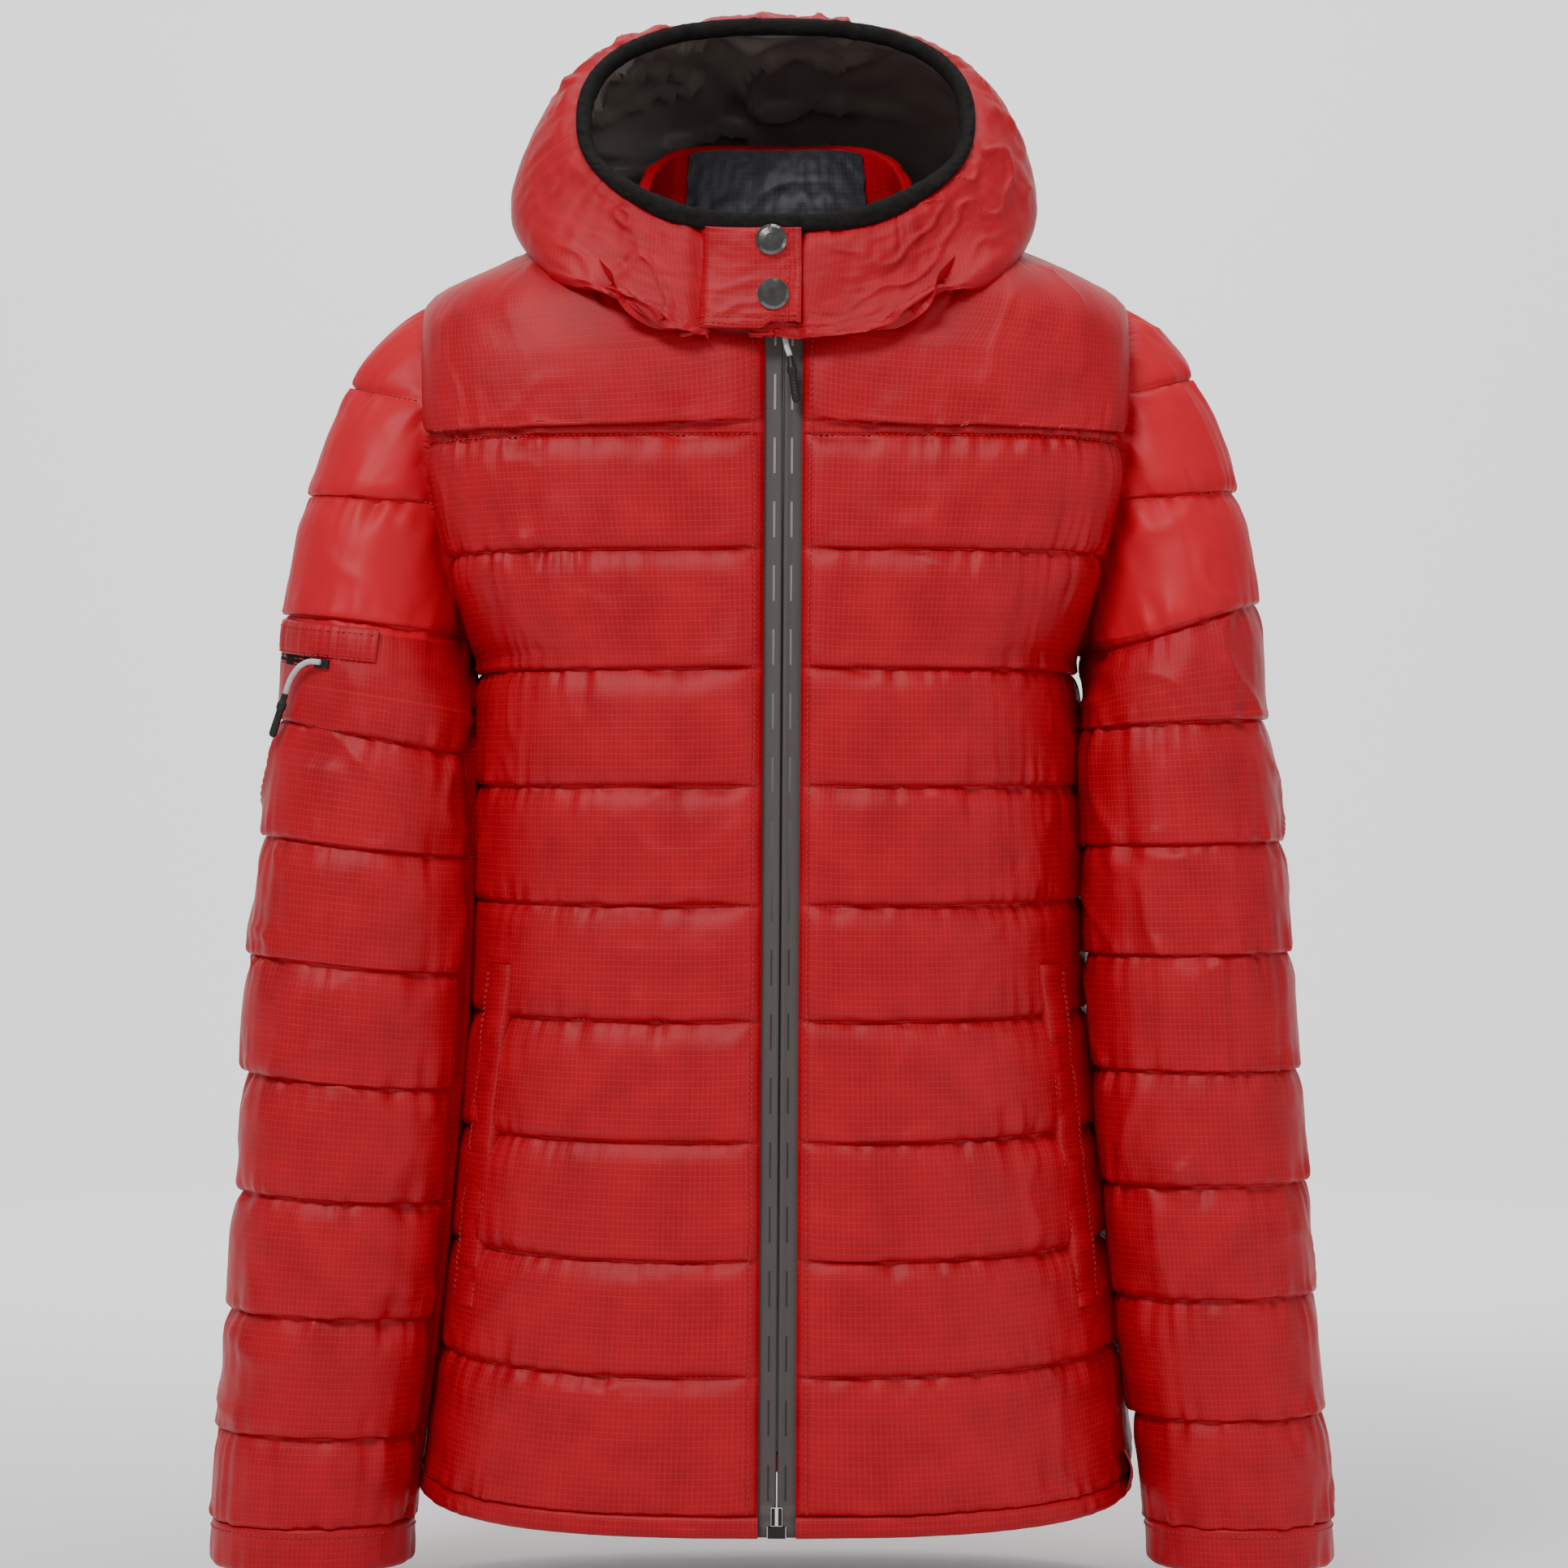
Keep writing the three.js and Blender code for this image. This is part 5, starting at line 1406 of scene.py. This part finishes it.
# ---------- pockets and label ----------
WELT_TOP, WELT_BOTTOM = (140.0, -97.0), (160.0, -281.0)
WELT_SECTION = [(12.6, -3.0), (12.5, 1.8), (12.0, 3.0), (10.8, 3.6), (8.0, 3.8), (4.6, 3.8), (1.8, 3.6),
                (0.6, 3.0), (0.1, 1.8), (0.0, -3.0)]
ARM_FLAP_ANGLES, ARM_FLAP_Z = (0.3, 1.64), (71.5, 64.0)
ARM_FLAP_SECTION = [(19.0, -2.0), (18.4, 1.8), (17.4, 2.7), (15.0, 3.3), (10.0, 3.5), (4.0, 3.4),
                    (1.2, 3.0), (0.3, 2.0), (0.2, 0.4), (0.9, -1.2)]
trim_lines = []


for side, word, seed in ((-1, "right", 81), (1, "left", 82)):
    def welt_surface(columns, heights, side=side):
        z = lerp(WELT_TOP[1], WELT_BOTTOM[1], columns)[None, :] + 0 * heights[:, None]
        x = lerp(WELT_TOP[0], WELT_BOTTOM[0], columns)[None, :] + heights[:, None]
        return torso(side, -1, t_at(x, z), z)
    piece, points, normal = strip(f"welt_{word}_cloth", welt_surface, np.linspace(0, 1, 90), WELT_SECTION,
                                  RED, seed, pucker=0.45)
    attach(piece, "root")
    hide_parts(f"welt_{word}")
    quilted.append(piece)
    for row in (2, 3, 7):
        trim_lines.append((points[row, 2:-2], normal[row, 2:-2]))


def arm_flap_surface(columns, heights):
    slot = lerp(ARM_FLAP_Z[0], ARM_FLAP_Z[1], (columns - ARM_FLAP_ANGLES[0]) / np.ptp(ARM_FLAP_ANGLES))
    return sleeve_at(-1, columns, slot[None, :] + heights[:, None])


arm_flap_center = np.array([-225.0, -35.0, 75.0])
piece, arm_flap_points, arm_flap_normal = strip("arm_pocket_flap_cloth", arm_flap_surface,
                                                np.linspace(*ARM_FLAP_ANGLES, 60),
                                                ARM_FLAP_SECTION, RED, seed=83, pucker=0.3,
                                                center=arm_flap_center)
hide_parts("arm_pocket_flap")
follow_arm(piece, -1)
quilted.append(piece)
SLOT_SECTION = [(0.6, 0.9), (-0.4, 1.3), (-1.6, 1.0), (-2.4, 1.7), (-3.2, 1.7), (-4.0, 1.0), (-5.0, 1.3),
                (-5.8, 0.6)]
piece, points, normal = strip("arm_pocket_tape_cloth", arm_flap_surface, np.linspace(*ARM_FLAP_ANGLES, 60),
                              SLOT_SECTION, ELASTIC, seed=84, pucker=0.1, center=arm_flap_center)
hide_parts("arm_pocket_tape")
follow_arm(piece, -1)

label_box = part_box("side_label")
label_low, label_high = (np.array(corner) * 1000 + ORIGIN for corner in label_box)
LABEL_GRID = (16, 12)
label_y = np.linspace(label_low[1], label_high[1], LABEL_GRID[1])
label_z = np.linspace(label_high[2], label_low[2], LABEL_GRID[0])
bend_x = lerp(label_low[0], label_high[0], 0.5 + 0.35 * np.sin(np.linspace(0, 3, LABEL_GRID[0])))
label_axes = (bend_x[:, None], label_y, label_z[:, None])
label_points = np.stack([np.broadcast_to(values, LABEL_GRID) for values in label_axes], axis=-1)
label_normal = np.broadcast_to(np.array([1.0, 0, 0]), label_points.shape)
LABEL = woven("label_cloth", (0.22, 0.006, 0.010), (0.36, 0.012, 0.016), 0.7, 0.0009)
piece = sheet_piece("side_label_cloth", label_points, label_normal, LABEL, skirt=1.0)
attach(piece, "root")
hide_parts("side_label")

# ---------- stitching ----------
torso_lines = []
for side in (-1, 1):
    grid, normal = front[side]
    for row in torso_rows[1:-1]:
        torso_lines.append((grid[row, 1:-1], normal[row, 1:-1]))
    edge = grid[:, 1:2].mean(axis=1) + normal[:, 1] * 0.3
    start = int(np.argmax(torso_levels < NECK_FRONT_Z))
    torso_lines.append((edge[start:], normal[start:, 1]))
for row in torso_rows[1:-1]:
    torso_lines.append((back_grid[row, 1:-1], back_normal[row, 1:-1]))
piece = stitches("torso_stitches", torso_lines + trim_lines)
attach(piece, "root")


def ring_lines(grid, normal, rows):
    for row in rows:
        yield closed_ring(grid[row], 0), closed_ring(normal[row], 0)


for side, word in ((-1, "right"), (1, "left")):
    grid, normal, rows = sleeves[side]
    lines = []
    for points, out in ring_lines(grid, normal, rows[1:-1]):
        inside = np.abs(np.abs(points[:, 0]) - half_width(points[:, 2])) > 1.5
        where = np.flatnonzero(inside)
        for run in np.split(where, np.flatnonzero(np.diff(where) > 1) + 1):
            if len(run) > 4:
                lines.append((points[run], out[run]))
    points, normal = cuffs[side]
    lines += list(ring_lines(points, normal, (3,)))
    if side < 0:
        lines += [(arm_flap_points[row, 1:-1], arm_flap_normal[row, 1:-1]) for row in (3, 6)]
    piece = stitches(f"sleeve_stitches_{word}", lines)
    follow_arm(piece, side)

hood_lines = [(hood_grid[1:-1, c], hood_normal[1:-1, c]) for c in CROWN_COLUMNS]
chin_columns = np.r_[-70:0, 0:71]
outside_flap = [c for c in chin_columns if not FLAP_HINGE_X - 8 < hood_grid[-6, c, 0] < FLAP_EDGE_X + 2]
split = next(i for i in range(1, len(outside_flap)) if outside_flap[i] - outside_flap[i - 1] > 1)
for run in (outside_flap[:split], outside_flap[split:]):
    for row in (-6, -3):
        hood_lines.append((hood_grid[row, run] + hood_normal[row, run] * 0.2, hood_normal[row, run]))
piece = stitches("hood_stitches", hood_lines)
with_hood(piece)
flap_lines = [(flap_grid[row, 1:-1], flap_normal[row, 1:-1]) for row in (FLAP_HEM_ROW, FLAP_HEM_ROW + 3)]
flap_lines += [(flap_grid[1:-1, c], flap_normal[1:-1, c]) for c in (-2, -5)]
piece = stitches("flap_stitches", flap_lines)
with_flap(piece)

# ---------- CAD pieces that stay ----------
KEPT = {"zip_slider": BLACK, "zip_retainer_box": BLACK, "zip_pin_right": BLACK, "zip_pin_left": BLACK,
        "arm_pocket_slider": BLACK, "hanger_loop": ELASTIC, "snap_cap_upper": NICKEL,
        "snap_cap_lower": NICKEL,
        "snap_socket_upper": NICKEL, "snap_socket_lower": NICKEL, "snap_stud_upper": NICKEL,
        "snap_stud_lower": NICKEL}
for name, material in KEPT.items():
    node = bpy.data.objects[name]
    node.data.materials.clear()
    node.data.materials.append(material)

# ---------- the quilted pieces and the arm pull's cord points, gone over with nothing done to them ---
for piece in quilted:
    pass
tuple(to_row(arm_route[0]))
[tuple(p) for p in to_row(open_curve(arm_route, CORD_POINTS))]

# ---------- floor and light ----------
FLOOR_Z = float(to_row([0, 0, CUFF_END_Z])[2]) - 0.02
SWEEP_FRONT, SWEEP_BACK, SWEEP_RADIUS, SWEEP_TOP, SWEEP_HALF_WIDTH = -4.0, 2.6, 1.2, 4.5, 6.0


def studio_sweep():
    """A pale floor that curves up into a plain backdrop."""
    outline = [(SWEEP_FRONT, FLOOR_Z)]
    for angle in np.linspace(0, math.pi / 2, 24):
        outline.append((SWEEP_BACK + SWEEP_RADIUS * math.sin(angle),
                        FLOOR_Z + SWEEP_RADIUS * (1 - math.cos(angle))))
    outline.append((SWEEP_BACK + SWEEP_RADIUS, SWEEP_TOP))
    vertices = [(x, y, z) for y, z in outline for x in (-SWEEP_HALF_WIDTH, SWEEP_HALF_WIDTH)]
    faces = [(2 * i, 2 * i + 1, 2 * i + 3, 2 * i + 2) for i in range(len(outline) - 1)]
    mesh = bpy.data.meshes.new("floor")
    mesh.from_pydata(vertices, [], faces)
    mesh.polygons.foreach_set("use_smooth", [True] * len(mesh.polygons))
    mesh.materials.append(moulded("studio_paper", (0.84, 0.84, 0.84), (0.88, 0.88, 0.88), 0.8))
    floor = bpy.data.objects.new("floor", mesh)
    scene.collection.objects.link(floor)
    return floor


def area_light(name, place, aim, size, power):
    data = bpy.data.lights.new(name, "AREA")
    data.energy = power
    data.shape = "RECTANGLE"
    data.size, data.size_y = size
    light = bpy.data.objects.new(name, data)
    light.location = place
    light.rotation_euler = (Vector(aim) - Vector(place)).to_track_quat("-Z", "Y").to_euler()
    scene.collection.objects.link(light)


studio_sweep()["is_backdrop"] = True
world = bpy.data.worlds.new("studio")
scene.world = world
world.use_nodes = True
background = world.node_tree.nodes["Background"]
background.inputs["Color"].default_value = (1, 1, 1, 1)
background.inputs["Strength"].default_value = 0.5
JACKET_MIDDLE = (0.0, 0.0, -0.32)
area_light("key", (-0.9, -2.1, 1.9), (0.0, 0.0, 0.0), (1.1, 0.7), 64)
area_light("fill", (1.9, -2.0, 0.4), JACKET_MIDDLE, (0.8, 1.6), 9)
area_light("top", (0.2, 0.1, 1.9), JACKET_MIDDLE, (1.6, 1.0), 22)
area_light("backdrop", (0.0, 1.2, 1.6), (0.0, 3.6, 0.2), (4.0, 1.0), 105)

sizes = {"cad": CAD_BOUNDS, "visual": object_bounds()}
{name: [[float(x) for x in corner] for corner in box] for name, box in sizes.items()}
